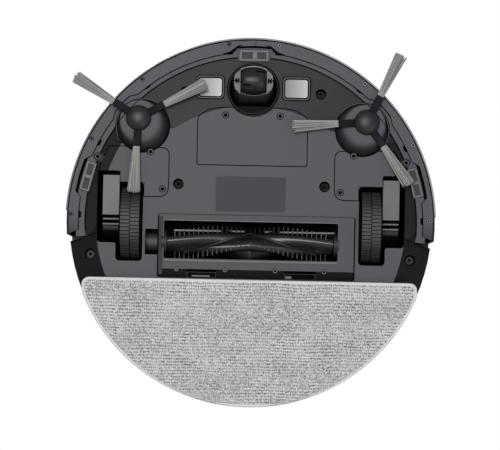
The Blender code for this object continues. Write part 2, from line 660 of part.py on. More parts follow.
def mop_outline(inset):
    """The mop's outline: a straight front edge and a round rear edge, with round ends."""
    radius = MOP_R - inset
    reach = MOP_HALF_WIDTH - inset
    corner = 7.0
    front = MOP_FRONT_Y + GAP + inset
    end_angle = 180.0 - math.degrees(math.asin((reach + 0.6) / radius))
    right = arc(corner, 0.0, 90.0, 4, (reach - corner, front + corner))
    rear = arc(radius, end_angle, 360.0 - end_angle, 40, MOP_CENTRE)
    left = arc(corner, 270.0, 360.0, 4, (-reach + corner, front + corner))
    return right + rear + left


def make_mop():
    plate = prism("mop_plate", mop_outline(1.2), PAD_TOP_Z + GAP, PLATE_TOP_Z)
    cut(plate, prism("tool", mop_outline(3.4), PAD_TOP_Z + GAP + 2.5, 20.0))
    paint(plate, "dark")
    paint(prism("mop_pad", mop_outline(0.0), 0.0, PAD_TOP_Z), "fabric")


def make_inner_parts():
    """The battery, board, fan, label and bay liner, which do not move."""
    paint(prism("battery_pack", rounded(-48.0, 48.0, -99.0, -56.0, 4.0), 13.4, 37.0), "battery")
    paint(prism("main_board", rounded(-60.0, 60.0, -52.0, -8.0, 3.0), 30.0, 32.0), "board")
    paint(prism("rating_label", rounded(*LABEL, 1.0), 9.3, 9.7), "gloss")
    fan = turned("fan_housing", [(24.0, 44.0), (24.0, 66.0), (10.0, 66.0), (10.0, 64.0), (22.0, 64.0),
                                 (22.0, 46.0), (6.0, 46.0), (6.0, 44.0)], 24, centre=(40.0, 27.0, 0.0),
                 hollow=True)
    paint(fan, "dark")
    impeller = turned("fan_impeller", [(5.0, 46.9), (19.0, 47.5), (19.0, 52.0), (8.0, 60.0),
                                       (3.0, 60.0)], 24, centre=(40.0, 27.0, 0.0))
    pivot(impeller, 40.0, 27.0, 50.0)
    paint(impeller, "grey")
    liner = box("tank_bay_liner", -BAY_HALF + 0.5, BAY_HALF - 0.5, BAY_FRONT_Y, 134.0, 19.4, 69.0)
    cut(liner, box("tool", -BAY_HALF + 2.3, BAY_HALF - 2.3, BAY_FRONT_Y + 1.8, 140.0, 20.4, 80.0),
        box("tool", -29.0, 29.0, 50.0, 64.0, 24.0, 42.0))
    paint(liner, "dark")


def make_drawer():
    bin_box = box("dust_bin", -99.0, 99.0, 63.5, 112.0, DRAWER_Z0, 62.0)
    cut(bin_box, box("tool", -97.0, 97.0, 65.5, 110.0, DRAWER_Z0 + 2.0, 80.0),
        box("tool", -27.0, 27.0, 60.0, 70.0, 26.0, 40.0))
    paint(bin_box, "clear")
    paint(box("bin_lid", -99.0, 99.0, 63.5, 112.0, 62.35, 65.5), "dark")
    paint(prism("bin_filter", rounded(42.0, 92.0, 28.0, 56.0, 2.0), 59.4, 63.1, "Y"), "light")
    back = arc(PANEL_R - 4.0, 180.0 - 35.0, 180.0 + 35.0, 20)
    tank = prism("water_tank", [(-99.0, 112.4), (99.0, 112.4), *back], DRAWER_Z0, DRAWER_Z1)
    inside = arc(PANEL_R - 6.0, 180.0 - 34.5, 180.0 + 34.5, 20)
    cut(tank, prism("tool", [(-96.5, 114.4), (96.5, 114.4), *inside], DRAWER_Z0 + 2.0, DRAWER_Z1 - 2.0),
        cylinder("tool", 5.0, 150.0, 190.0, (0.0, PLUG_Z), 20, "Y"))
    paint(tank, "clear")
    panel = prism("rear_panel", arc(PANEL_R, 143.2, 216.8, 28) + arc(PANEL_R - 3.0, 216.8, 143.2, 28),
                  19.6, FLANGE_Z - 1.0)
    cut(panel, cylinder("tool", PLUG_R + 0.5, 160.0, 190.0, (0.0, PLUG_Z), 24, "Y"),
        prism("tool", rounded(-14.4, 14.4, RELEASE_Z - 4.4, RELEASE_Z + 4.4, 3.0), 160.0, 190.0, "Y"))
    paint(panel, "housing")
    plug = cylinder("tank_plug", PLUG_R, PANEL_R - 2.6, PANEL_R, (0.0, PLUG_Z), 24, "Y")
    pivot(plug, 0.0, PANEL_R, PLUG_Z - PLUG_R)
    paint(plug, "rubber")
    outline = rounded(-14.0, 14.0, RELEASE_Z - 4.0, RELEASE_Z + 4.0, 2.8)
    release = prism("release_button", outline, PANEL_R - 2.0, BODY_R, "Y")
    pivot(release, 0.0, PANEL_R, RELEASE_Z)
    paint(release, "grey")


def make_top_parts():
    """The cover plate, turret and buttons."""
    x, y = TURRET
    plate = turned("top_cover_plate", [(150.0, DECK_Z + GAP), (150.0, DECK_Z + 1.4),
                                       (149.0, DECK_Z + 2.0)], 72)
    cut(plate, cylinder("tool", TURRET_R + 0.5, 70.0, 90.0, TURRET, 40))
    for button_x in (BUTTON_X, -BUTTON_X):
        cut(plate, cylinder("tool", BUTTON_R + GAP, 70.0, 90.0, (button_x, BUTTON_Y), 20))
    paint(plate, "gloss")
    paint(turned("lidar_base", [(24.0, 76.4), (TURRET_R, 76.4), (TURRET_R, 81.0), (40.0, 82.0),
                                (24.0, 82.0)], 40, centre=(x, y, 0.0), hollow=True), "dark")
    rotor = turned("lidar_rotor", [(20.0, 76.6), (22.0, 78.0), (22.0, 87.5), (20.0, 88.5)], 28,
                   centre=(x, y, 0.0))
    pivot(rotor, x, y, 80.0)
    paint(rotor, "clear")
    cap = turned("lidar_cover", [(40.5, 90.0), (40.5, 92.5), (38.0, TURRET_TOP_Z)], 40, centre=(x, y, 0.0))
    for turn in (45.0, 135.0, 225.0, 315.0):
        outline = arc(39.0, turn - 6.0, turn + 6.0, 3, TURRET) + arc(34.0, turn + 6.0, turn - 6.0, 3, TURRET)
        unite(cap, prism("pillar", outline, 82.35, 91.0))
    paint(cap, "dark")
    for name, button_x in (("power_button", BUTTON_X), ("home_button", -BUTTON_X)):
        button = turned(name, [(BUTTON_R, 74.2), (BUTTON_R, 78.6), (BUTTON_R - 0.6, 79.0)], 20,
                        centre=(button_x, BUTTON_Y, 0.0))
        pivot(button, button_x, BUTTON_Y, DECK_Z)
        paint(button, "light")


def main():
    for leftover in list(bpy.data.objects):
        bpy.data.objects.remove(leftover)
    make_bottom_housing()
    make_top_housing()
    make_front_trim()
    make_bumper()
    make_caster()
    for side, name, arms in ((1.0, "right", RIGHT_ARMS), (-1.0, "left", LEFT_ARMS)):
        make_drive(side, name)
        make_side_brush(side, name, arms)
    make_main_brush()
    make_guard()
    make_mop()
    make_inner_parts()
    make_drawer()
    make_top_parts()


main()
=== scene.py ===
"""The look of the robot vacuum: fine surfaces, screws, bristles, tyres, the mop pad, light and camera.

Lengths are in millimetres in the robot's own frame and become metres where a mesh or a light is made.
The front faces -Y, and +Z is up.
"""
import math
import random

import bmesh
import bpy
import mathutils
from mathutils import Matrix, Vector


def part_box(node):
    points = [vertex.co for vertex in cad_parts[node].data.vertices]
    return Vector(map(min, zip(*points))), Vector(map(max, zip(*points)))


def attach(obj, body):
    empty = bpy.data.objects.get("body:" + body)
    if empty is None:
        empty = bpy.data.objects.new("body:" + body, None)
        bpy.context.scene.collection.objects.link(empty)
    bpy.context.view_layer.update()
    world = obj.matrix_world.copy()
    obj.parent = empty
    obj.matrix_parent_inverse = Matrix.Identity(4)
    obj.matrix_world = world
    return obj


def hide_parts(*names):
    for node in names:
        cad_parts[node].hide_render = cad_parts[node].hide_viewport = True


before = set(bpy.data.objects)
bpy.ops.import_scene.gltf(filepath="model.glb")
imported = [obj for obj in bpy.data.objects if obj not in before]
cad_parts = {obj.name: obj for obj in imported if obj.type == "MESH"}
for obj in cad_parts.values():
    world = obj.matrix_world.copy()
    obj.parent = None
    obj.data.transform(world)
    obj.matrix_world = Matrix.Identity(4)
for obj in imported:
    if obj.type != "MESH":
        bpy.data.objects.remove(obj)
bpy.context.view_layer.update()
MM = 0.001
TONE_AND_SHADE = "tone"           # the mesh attribute that tints strands and loops: a random tone, with painted shade in the pad's hollows and on the side brushes' higher bristle layers
SIDES = ((-1.0, "left"), (1.0, "right"))
FACET_ANGLE = 16.0      # shallower edges of the CAD nodes are only facets of a curve
WELD_MM = 0.002
# CAD nodes whose round faces shade smoothly
CURVED = ("bumper_shell", "bumper_window", "top_housing", "rear_panel", "top_cover_plate", "lidar_base",
          "lidar_cover", "lidar_rotor", "mop_plate", "release_button", "tank_plug", "caster_fork",
          "caster_socket", "power_button", "home_button", "left_wheel_hub", "right_wheel_hub",
          "main_brush_gearbox")
random.seed(7)


# Places taken from the CAD nodes, in millimetres

def span(node):
    """The lowest and highest corners of a CAD node."""
    low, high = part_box(node)
    return [value / MM for value in low], [value / MM for value in high]


def lowest(node):
    return span(node)[0][2]


def middle(node):
    low, high = span(node)
    return [(a + b) / 2.0 for a, b in zip(low, high)]


PLATEAU_Z = lowest("bottom_housing")
ROLLER = middle("main_brush_sleeve")
CASTER = middle("caster_socket")
CASTER_WHEEL = middle("caster_wheel")
PAD_LOW, PAD_HIGH = span("mop_pad")


# Materials

def shade(owner, kind, output, inputs=None, **settings):
    """Adds a shader node with its inputs, which are values or other nodes' outputs, and gives an output."""
    tree = owner.node_tree
    made = tree.nodes.new("ShaderNode" + kind)
    for key, value in settings.items():
        setattr(made, key, value)
    for key, value in (inputs or {}).items():
        if isinstance(value, bpy.types.NodeSocket):
            tree.links.new(value, made.inputs[key])
        else:
            made.inputs[key].default_value = value
    return made.outputs[output]


def principled(name, colour, roughness, metallic=0.0, specular=0.5):
    material = bpy.data.materials.new(name)
    material.use_nodes = True
    inputs = shader_of(material).inputs
    inputs["Base Color"].default_value = (*colour, 1.0)
    inputs["Roughness"].default_value = roughness
    inputs["Metallic"].default_value = metallic
    inputs["Specular IOR Level"].default_value = specular
    return material


def shader_of(material):
    return material.node_tree.nodes["Principled BSDF"]


def recoloured(material, tint):
    material.node_tree.links.new(tint, shader_of(material).inputs["Base Color"])
    return material


def noise(material, scale_mm, detail=3.0, stretch=(1.0, 1.0, 1.0)):
    """A noise whose features are about scale_mm across, in the object's own coordinates."""
    place = shade(material, "TexCoord", "Object")
    stretched = shade(material, "Mapping", "Vector", {"Vector": place, "Scale": stretch})
    return shade(material, "TexNoise", "Fac",
                 {"Vector": stretched, "Scale": 1.0 / (scale_mm * MM), "Detail": detail})


def ramp(material, factor, stops):
    """A colour that follows a factor: stops are pairs of a position and a colour."""
    made = material.node_tree.nodes.new("ShaderNodeValToRGB")
    elements = made.color_ramp.elements
    while len(elements) < len(stops):
        elements.new(0.5)
    for element, (position, colour) in zip(elements, stops):
        element.position = position
        element.color = (*colour, 1.0)
    material.node_tree.links.new(factor, made.inputs["Fac"])
    return made.outputs["Color"]


def mixed(material, factor, dark, light):
    """A colour that runs from dark to light with the factor."""
    return ramp(material, factor, ((0.3, dark), (0.7, light)))


def bumped(material, height, strength, distance_mm):
    normal = shade(material, "Bump", "Normal",
                   {"Strength": strength, "Distance": distance_mm * MM, "Height": height})
    material.node_tree.links.new(normal, shader_of(material).inputs["Normal"])


def multiply(material, first, second):
    return shade(material, "Mix", "Result", {"Factor": 1.0, "A": first, "B": second},
                 data_type="RGBA", blend_type="MULTIPLY")


def scaled(material, factor):
    """Multiplies a material's colour by a factor."""
    colour = shader_of(material).inputs["Base Color"].links[0].from_socket
    return recoloured(material, multiply(material, colour, factor))


def downward_shade(material, stops):
    """Painted shade: a grey that depends on how squarely the surface faces down. The stops are pairs of
    -normal z and grey.
    """
    up = shade(material, "SeparateXYZ", "Z", {"Vector": shade(material, "TexCoord", "Normal")})
    down = shade(material, "Math", "Value", {0: up, 1: -1.0}, operation="MULTIPLY")
    return ramp(material, down, [(position, (grey, grey, grey)) for position, grey in stops])


# Painted shade for downward_shade: surfaces that tilt away from facing straight down are painted darker
SLOPE_SHADE = ((0.0, 0.25), (0.5, 0.25), (0.82, 0.04), (0.90, 0.08), (0.935, 0.15), (0.985, 0.24),
               (0.995, 0.30), (0.9995, 1.0))
MOUND_SHADE = ((0.88, 0.02), (0.95, 0.05), (0.975, 0.22), (0.99, 0.60), (0.9985, 1.0))
BEVEL_SHADE = ((0.0, 0.25), (0.5, 0.25), (0.85, 0.02), (0.97, 0.04), (0.995, 1.0))
ROUND_SHADE = ((0.3, 0.08), (0.75, 0.32), (1.0, 1.0))
BARREL_SHADE = ((0.3, 0.02), (0.75, 0.06), (0.95, 0.45), (1.0, 1.0))


def plastic(name, colour, roughness, grain_mm=0.5, grain=0.25, tone=0.08, stops=(), specular=0.5):
    """Moulded plastic: a fine spark texture, a slight unevenness of tone and of gloss, and, with stops,
    painted shade by how squarely the surface faces down.
    """
    material = principled(name, colour, roughness, specular=specular)
    bumped(material, noise(material, grain_mm, 4.0), grain, 0.06)
    dark = [value * (1.0 - tone) for value in colour]
    light = [value * (1.0 + tone) for value in colour]
    tint = mixed(material, noise(material, 1.1, 6.0), dark, light)
    if stops:
        tint = multiply(material, tint, downward_shade(material, stops))
    return recoloured(material, tint)


def graded_shading(material, axis, low_mm, high_mm, low, high):
    """Painted light and shade: multiplies a material's colour by a value that runs from low to high along an
    axis of the object.
    """
    place = shade(material, "SeparateXYZ", axis, {"Vector": shade(material, "TexCoord", "Object")})
    return scaled(material, shade(material, "MapRange", "Result", {
        "Value": place, "From Min": low_mm * MM, "From Max": high_mm * MM, "To Min": low, "To Max": high}))


def toned(material):
    """Multiplies a material's colour by the tone that each strand or loop of a mesh carries, painted shade
    included.
    """
    return scaled(material, shade(material, "Attribute", "Fac", attribute_name=TONE_AND_SHADE))


def metal(name, colour, roughness):
    """Brushed metal."""
    material = principled(name, colour, roughness, metallic=1.0)
    streaks = noise(material, 2.0, 4.0, (1.0, 12.0, 1.0))
    bumped(material, streaks, 0.08, 0.05)
    return recoloured(material, mixed(material, streaks, [value * 0.93 for value in colour], colour))


def fabric(name, colour, shaded):
    """Looped microfibre: soft sheen and fibres far finer than the loops that the mesh makes, with painted
    shade that darkens the fibres' hollows to the shaded share of the colour.
    """
    material = principled(name, colour, 0.95, specular=0.1)
    shader_of(material).inputs["Sheen Weight"].default_value = 0.25
    shader_of(material).inputs["Sheen Roughness"].default_value = 0.6
    fibres = noise(material, 0.35, 5.0)
    bumped(material, fibres, 0.8, 0.25)
    return recoloured(material, mixed(material, fibres, [value * shaded for value in colour], colour))


def grey_plastic(name, stops=()):
    """The grey of the housing and of what is screwed to it, with painted shade by slope where stops are
    given.
    """
    return plastic(name, (0.102, 0.100, 0.116), 0.50, stops=stops, specular=0.25)


# Painted shade: the housing, bumper, covers and guard grow darker where their faces tilt away from facing
# down
HOUSING = grey_plastic("housing_plastic", SLOPE_SHADE)
# Painted shade: the bumper darkens towards the rear ends of its lip, where the lip curves up
SHELL = graded_shading(grey_plastic("bumper_plastic", SLOPE_SHADE), "Y", -4.0, 15.0, 1.0, 0.35)
# Painted shade: the covers turn ten times darker where they rise above about 14.9 mm, in their recessed necks
COVER = graded_shading(grey_plastic("cover_plastic", SLOPE_SHADE), "Z", 14.88, 14.98, 1.0, 0.1)
GUARD = plastic("guard_plastic", (0.102, 0.100, 0.116), 0.50, stops=BEVEL_SHADE, specular=0.2)
FLAT_GREY = grey_plastic("trim_plastic")
# Painted highlight: the rim outside the bumper's groove is painted light as a lit edge, brighter towards +X
RIM_HIGHLIGHT = graded_shading(plastic("rim_highlight_plastic", (0.16, 0.16, 0.165), 0.40), "X", -120.0, 120.0, 1.3, 2.6)
TRIM = plastic("contact_trim", (0.095, 0.094, 0.102), 0.45, specular=0.25)
SHADE = plastic("shaded_trim", (0.030, 0.029, 0.034), 0.50, specular=0.25)
LIGHT = plastic("light_trim", (0.144, 0.140, 0.155), 0.45)
# Painted highlights: light bars that stand for the glints along the shiny cylinder of each wheel arm
GLINT_BAR = plastic("arm_glint_bar", (0.17, 0.17, 0.18), 0.35)
BRIGHT = plastic("bright_trim", (0.34, 0.34, 0.35), 0.40)
TOP = plastic("top_plastic", (0.028, 0.028, 0.030), 0.42)
BEARING = plastic("bearing_plastic", (0.009, 0.009, 0.010), 0.5, grain=0.05, specular=0.12)
# Painted shade: the gearbox barrel darkens where it turns away from facing down, and over its leftmost 4 mm
BARREL_LEFT = span("main_brush_gearbox")[0][0]
BARREL = graded_shading(plastic("barrel_plastic", (0.092, 0.090, 0.102), 0.45, grain=0.05, stops=BARREL_SHADE,
                        specular=0.15), "X", BARREL_LEFT, BARREL_LEFT + 4.0, 0.08, 1.0)
# Painted shade: the fork darkens as it rises into the socket, from 12 to 14 mm
FORK = graded_shading(plastic("fork_plastic", (0.26, 0.26, 0.27), 0.45, specular=0.06), "Z", 12.0, 14.0, 1.0, 0.01)
DARK = plastic("dark_plastic", (0.010, 0.010, 0.011), 0.50)
# Painted shade: the skirt darkens as it rises into the socket, from 13 to 22 mm
SKIRT = graded_shading(plastic("skirt_plastic", (0.032, 0.032, 0.034), 0.5, specular=0.08), "Z", 13.0,
               22.0, 1.0, 0.03)
BLACK = plastic("black_plastic", (0.0012, 0.0012, 0.0014), 0.7, specular=0.06)
GLOSS = plastic("gloss_plastic", (0.012, 0.012, 0.013), 0.12, grain=0.03)
HUB = plastic("hub_plastic", (0.0195, 0.0195, 0.0205), 0.42, grain=0.05)
ARM = plastic("arm_rubber", (0.0045, 0.0045, 0.005), 0.55, grain=0.1, specular=0.22)
# Painted shade: the crater mounds darken steeply where they slope away from facing down
MOUND = grey_plastic("mound_plastic", MOUND_SHADE)
# Painted shade deep in the brush chamber: the roller's core, blades and tufts darken with height from 12 mm
# below the roller's axis
CHAMBER_SHADE = (ROLLER[2] - 12.0, ROLLER[2] + 1.0, 1.0, 0.06)
BLADE = graded_shading(plastic("roller_blade", (0.012, 0.012, 0.013), 0.40, grain=0.1, specular=0.35), "Z",
               ROLLER[2] - 12.0, ROLLER[2] - 3.0, 1.0, 0.05)
CORE = graded_shading(plastic("roller_core", (0.042, 0.042, 0.046), 0.27, grain=0.03), "Z", *CHAMBER_SHADE)
WINDOW = plastic("sensor_window", (0.055, 0.054, 0.060), 0.5, grain=0.03, specular=0.2)
SMOKED = plastic("smoked_plastic", (0.03, 0.031, 0.034), 0.15, grain=0.03)
LABEL = plastic("label_film", (0.055, 0.053, 0.064), 0.5, grain=0.1, specular=0.25)
STEEL = metal("screw_steel", (0.20, 0.20, 0.21), 0.45)
# Painted shade: the tyre darkens where it curves away from facing down, and its grooves take a darker copy of
# the rubber as shade between the ribs
TYRE = plastic("tyre_rubber", (0.092, 0.090, 0.102), 0.6, grain_mm=0.8, grain=0.4, stops=ROUND_SHADE,
               specular=0.3)
TYRE_GROOVE_SHADE = plastic("tyre_groove_shade", (0.035, 0.035, 0.038), 0.6, grain=0.2, stops=ROUND_SHADE, specular=0.2)
RUBBER = plastic("soft_rubber", (0.012, 0.012, 0.013), 0.38, grain=0.1)
BRISTLE = toned(plastic("brush_nylon", (0.44, 0.44, 0.43), 0.5, tone=0.1))
# Painted shade in the chamber over each tuft's random tone
ROLLER_BRISTLE = graded_shading(toned(plastic("roller_nylon", (0.26, 0.26, 0.27), 0.5, tone=0.1)), "Z", *CHAMBER_SHADE)
PAD = toned(fabric("pad_loops", (0.86, 0.86, 0.86), 0.72))
BINDING = fabric("pad_binding", (0.95, 0.95, 0.95), 0.90)
BOARD = plastic("board_mask", (0.01, 0.09, 0.04), 0.3)
BATTERY = plastic("battery_film", (0.03, 0.05, 0.12), 0.35)


def contact_metal(name, x):
    """Satin plate with a painted reflection, brighter towards +X."""
    plate = metal(f"{name}_contact_plate_reflection", (0.25, 0.25, 0.26), 0.5)
    return graded_shading(plate, "X", x - 10.7, x + 10.7, 0.68, 1.40)


# Mesh tools

def polar(radius, degrees, centre=(0.0, 0.0)):
    """The point at an angle measured from the front, -Y, towards +X."""
    angle = math.radians(degrees)
    return centre[0] + radius * math.sin(angle), centre[1] - radius * math.cos(angle)


def arc(radius, start, end, steps, centre=(0.0, 0.0)):
    return [polar(radius, start + (end - start) * i / steps, centre) for i in range(steps + 1)]


def circle(radius, steps, centre=(0.0, 0.0)):
    return arc(radius, 0.0, 360.0, steps, centre)[:-1]


def rounded(x0, x1, y0, y1, radius, steps=5):
    corners = ((x1 - radius, y0 + radius), (x1 - radius, y1 - radius),
               (x0 + radius, y1 - radius), (x0 + radius, y0 + radius))
    return [point for i, centre in enumerate(corners)
            for point in arc(radius, 90.0 * i, 90.0 * i + 90.0, steps, centre)]


def rectangle(x0, x1, y0, y1):
    return [(x0, y0), (x1, y0), (x1, y1), (x0, y1)]


def spun(outline, degrees, centre, scale=1.0):
    """An outline turned about its own origin, scaled and set down at a place."""
    c, s = math.cos(math.radians(degrees)), math.sin(math.radians(degrees))
    return [(centre[0] + (a * c - b * s) * scale, centre[1] + (a * s + b * c) * scale) for a, b in outline]


def wheel_axes(angle):
    """The directions outwards and forwards on a wheel about X; at angle 0 outwards is straight down."""
    return (Vector((0.0, math.sin(angle), -math.cos(angle))), Vector((0.0, math.cos(angle), math.sin(angle))))


def along(axis, a, b, height):
    return {"X": (height, a, b), "Y": (a, height, b), "Z": (a, b, height)}[axis]


def loops_into(bm, loops, closed=False):
    """Adds a solid through loops of equally many points to a bmesh."""
    rows = [[bm.verts.new(point) for point in loop] for loop in loops]
    following = rows[1:] + rows[:1] if closed else rows[1:]
    for low, high in zip(rows, following):
        for i in range(len(low)):
            j = (i + 1) % len(low)
            bm.faces.new((low[i], low[j], high[j], high[i]))
    if not closed:
        bm.faces.new(rows[0][::-1])
        bm.faces.new(rows[-1])


def prism_loops(outline, low, high, axis="Z"):
    return [[along(axis, a, b, height) for a, b in outline] for height in (low, high)]


def turned_loops(profile, steps, axis="Z", centre=(0.0, 0.0, 0.0)):
    loops = []
    for radius, height in profile:
        ring = [along(axis, a, b, height) for a, b in circle(radius, steps)]
        loops.append([tuple(p + c for p, c in zip(point, centre)) for point in ring])
    return loops


def placed(name, data):
    thing = bpy.data.objects.new(name, data)
    bpy.context.scene.collection.objects.link(thing)
    return thing


def finished(name, bm, material, body, bevel=0.0, smooth=35.0):
    """Makes a piece in metres from a mesh in millimetres, and lets it ride on a body."""
    bmesh.ops.recalc_face_normals(bm, faces=bm.faces)
    bmesh.ops.scale(bm, vec=(MM, MM, MM), verts=bm.verts)
    mesh = bpy.data.meshes.new(name)
    bm.to_mesh(mesh)
    bm.free()
    mesh.materials.append(material)
    mesh.shade_smooth()
    mesh.set_sharp_from_angle(angle=math.radians(smooth))
    piece = placed(name, mesh)
    if bevel:
        soften(piece, bevel)
    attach(piece, body)
    return piece


def soften(piece, width_mm, segments=2, angle=38.0):
    """Rounds a piece's sharp edges."""
    modifier = piece.modifiers.new("soft_edges", "BEVEL")
    modifier.width = width_mm * MM
    modifier.segments = segments
    modifier.limit_method = "ANGLE"
    modifier.angle_limit = math.radians(angle)
    modifier.harden_normals = False


def tube(name, points, radius, material, body, sides=10):
    """A round bar that follows points."""
    path = [Vector(point) for point in points]
    loops = []
    for i, point in enumerate(path):
        ahead = path[min(i + 1, len(path) - 1)] - path[max(i - 1, 0)]
        across = ahead.cross(Vector((0.0, 0.0, 1.0))).normalized()
        up = across.cross(ahead).normalized()
        loops.append([point + across * radius * math.cos(turn) + up * radius * math.sin(turn)
                      for turn in (2.0 * math.pi * k / sides for k in range(sides))])
    return solid(name, loops, material, body, smooth=60.0)


def solid(name, loops, material, body, closed=False, bevel=0.0, smooth=35.0):
    bm = bmesh.new()
    loops_into(bm, loops, closed)
    return finished(name, bm, material, body, bevel, smooth)


def seam(name, loops, body="chassis"):
    """A dark gap line."""
    return solid(name, loops, BLACK, body)


def turned(name, profile, steps, material, body, axis="Z", centre=(0.0, 0.0, 0.0), closed=False,
           smooth=35.0):
    """A solid of revolution: the profile's pairs are a radius and a height along the axis."""
    loops = turned_loops(profile, steps, axis, centre)
    return solid(name, loops, material, body, closed, smooth=smooth)


def dress(node, material):
    """Gives a CAD node its material. Modifiers join a curved one's loose triangles between its corners."""
    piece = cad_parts[node]
    piece.data.materials.clear()
    piece.data.materials.append(material)
    if node in CURVED:
        piece.data.shade_smooth()
        joined = piece.modifiers.new("joined", "WELD")
        joined.merge_threshold = WELD_MM * MM
        corners = piece.modifiers.new("corners", "EDGE_SPLIT")
        corners.split_angle = math.radians(FACET_ANGLE)
        corners.use_edge_sharp = False


# Screws and small fittings

def screw(name, x, y, z, radius, body, ring=FLAT_GREY, head=BLACK):
    """A dark seam, a boss and a screw head down in a recess that opens at height z, seen from below."""
    for part, profile, material, slot in (
            ("seam", ((1.0, 1.4), (1.0, -0.04), (0.80, -0.04), (0.80, 1.4)), BLACK, "dark_plastic"),
            ("boss", ((0.82, 1.5), (0.82, 0.05), (0.78, -0.05), (0.52, -0.05), (0.48, 0.2), (0.48, 1.5)),
             ring, "housing"),
            ("head", ((0.50, 1.7), (0.50, 1.1), (0.36, 0.85), (0.03, 0.8)), head, "contact_metal")):
        turned(f"{name}_{part}", [(radius * share, z + rise) for share, rise in profile], 28, material, body,
               centre=(x, y, 0.0), closed=part != "head")
    bm = bmesh.new()
    for turn in (20.0, 110.0):
        outline = spun(rectangle(-0.28, 0.28, -0.07, 0.07), turn, (x, y), radius)
        loops_into(bm, prism_loops(outline, z + 0.7, z + 1.0))
    finished(f"{name}_cross", bm, BLACK, body)


# Places of the screws on the right: the bumper's are turns on a circle
BUMPER_SCREW_TURNS = (8.1, 38.3, 63.4, 88.5)
BUMPER_SCREW_REACH = 170.0
COVER_SCREWS = ((96.0, -64.6), (84.0, -29.6))
RIM_SCREW = (146.0, -59.4)
BATTERY_SCREW = (25.8, -100.8)
POSTS = ((69.0, -34.7, 10.0), (64.0, -122.5, 12.6), (150.8, 33.0, 13.0))     # X, Y and lowest Z
GUARD_SCREW_XS = (-69.0, -23.4, 24.0, 70.0)
GUARD_SCREW_Y = 45.7
BUMPER_SCREW_R, COVER_SCREW_R, GUARD_SCREW_R = 2.2, 3.4, 2.6


def make_screws():
    """Every screw that shows, and the bosses deep in the posts."""
    ring_z = lowest("sensor_ring") - 0.35
    # Painted highlight: the right bumper screws' bosses take the bright trim, as lit, and the left ones the
    # plain grey
    for side, name, bumper_ring in ((-1.0, "left", FLAT_GREY), (1.0, "right", BRIGHT)):
        for turn in BUMPER_SCREW_TURNS:
            x, y = polar(BUMPER_SCREW_REACH, side * turn)
            screw(f"{name}_bumper_screw_{int(turn)}", x, y, lowest("bumper_shell"), BUMPER_SCREW_R, "bumper",
                  bumper_ring)
        places = [(f"wheel_cover_screw_{i}", place, PLATEAU_Z) for i, place in enumerate(COVER_SCREWS)]
        places += [("wheel_cover_screw_rim", RIM_SCREW, ring_z), ("battery_screw", BATTERY_SCREW, PLATEAU_Z)]
        for part, (x, y), z in places:
            screw(f"{name}_{part}", side * x, y, z, COVER_SCREW_R, "chassis")
        for i, (x, y, z) in enumerate(POSTS):
            ring = [(3.5, z + 7.0), (1.7, z + 7.0), (1.5, z + 7.4), (1.5, z + 12.0), (3.5, z + 12.0)]
            turned(f"{name}_post_boss_{i}", ring, 28, DARK if y > 0.0 else BEARING, "chassis",
                   centre=(side * x, y, 0.0), closed=True)
            # Painted shade: the posts' inner walls lined in black
            lining = [(5.15, z + 1.0), (4.95, z + 1.2), (4.95, z + 16.0), (5.15, z + 16.0)]
            turned(f"{name}_post_shade_lining_{i}", lining, 32, BLACK, "chassis",
                   centre=(side * x, y, 0.0), closed=True)
    for i, x in enumerate(GUARD_SCREW_XS):
        screw(f"guard_screw_{i}", x, GUARD_SCREW_Y, lowest("brush_guard"), GUARD_SCREW_R, "guard", LIGHT,
              STEEL if i < 2 else BLACK)


LIP = ((0.0, 167.3), (5.7, 167.3), (7.2, 164.6), (9.0, 161.6), (42.5, 161.8), (45.2, 166.3), (51.6, 166.3),
       (54.3, 163.0), (68.2, 163.0), (70.4, 168.3), (81.0, 168.3), (82.6, 163.1), (94.0, 163.1))
RING_R = 156.65
LENS = (-2.0, -1.5, -1.0, -0.5, 0.0, 0.5, 1.0, 1.5, 2.0)
CRATER = (103.3, -89.0)
CRATER_R = 25.35


def lip_radius(turn):
    """Inner radius of the bumper's lip."""
    for (low, a), (high, b) in zip(LIP, LIP[1:]):
        if abs(turn) <= high:
            return a + (b - a) * (abs(turn) - low) / (high - low)
    return LIP[-1][1]


def ring_radius(turn):
    """Inner radius of the sensor ring, which bows outwards round the craters."""
    reach = math.hypot(*CRATER)
    off = math.radians(abs(turn) - math.degrees(math.atan2(CRATER[0], -CRATER[1])))
    beyond = (CRATER_R + 1.0) ** 2 - (reach * math.sin(off)) ** 2
    return max(RING_R, reach * math.cos(off) + math.sqrt(beyond)) if beyond > 0.0 else RING_R


def rim_line(name, radius_at, turns, section, body="chassis", material=BLACK):
    """A strip along the rim: the section's pairs are a step outwards from the radius and a height."""
    start, end = turns
    steps = max(2, int(abs(end - start) * 2.0))
    loops = [[(*polar(radius_at(turn) + out, turn), height) for out, height in section]
             for turn in (start + (end - start) * i / steps for i in range(steps + 1))]
    solid(name, loops, material, body, smooth=20.0)


def box_section(inner, outer, low, high):
    return (inner, low), (outer, low), (outer, high), (inner, high)


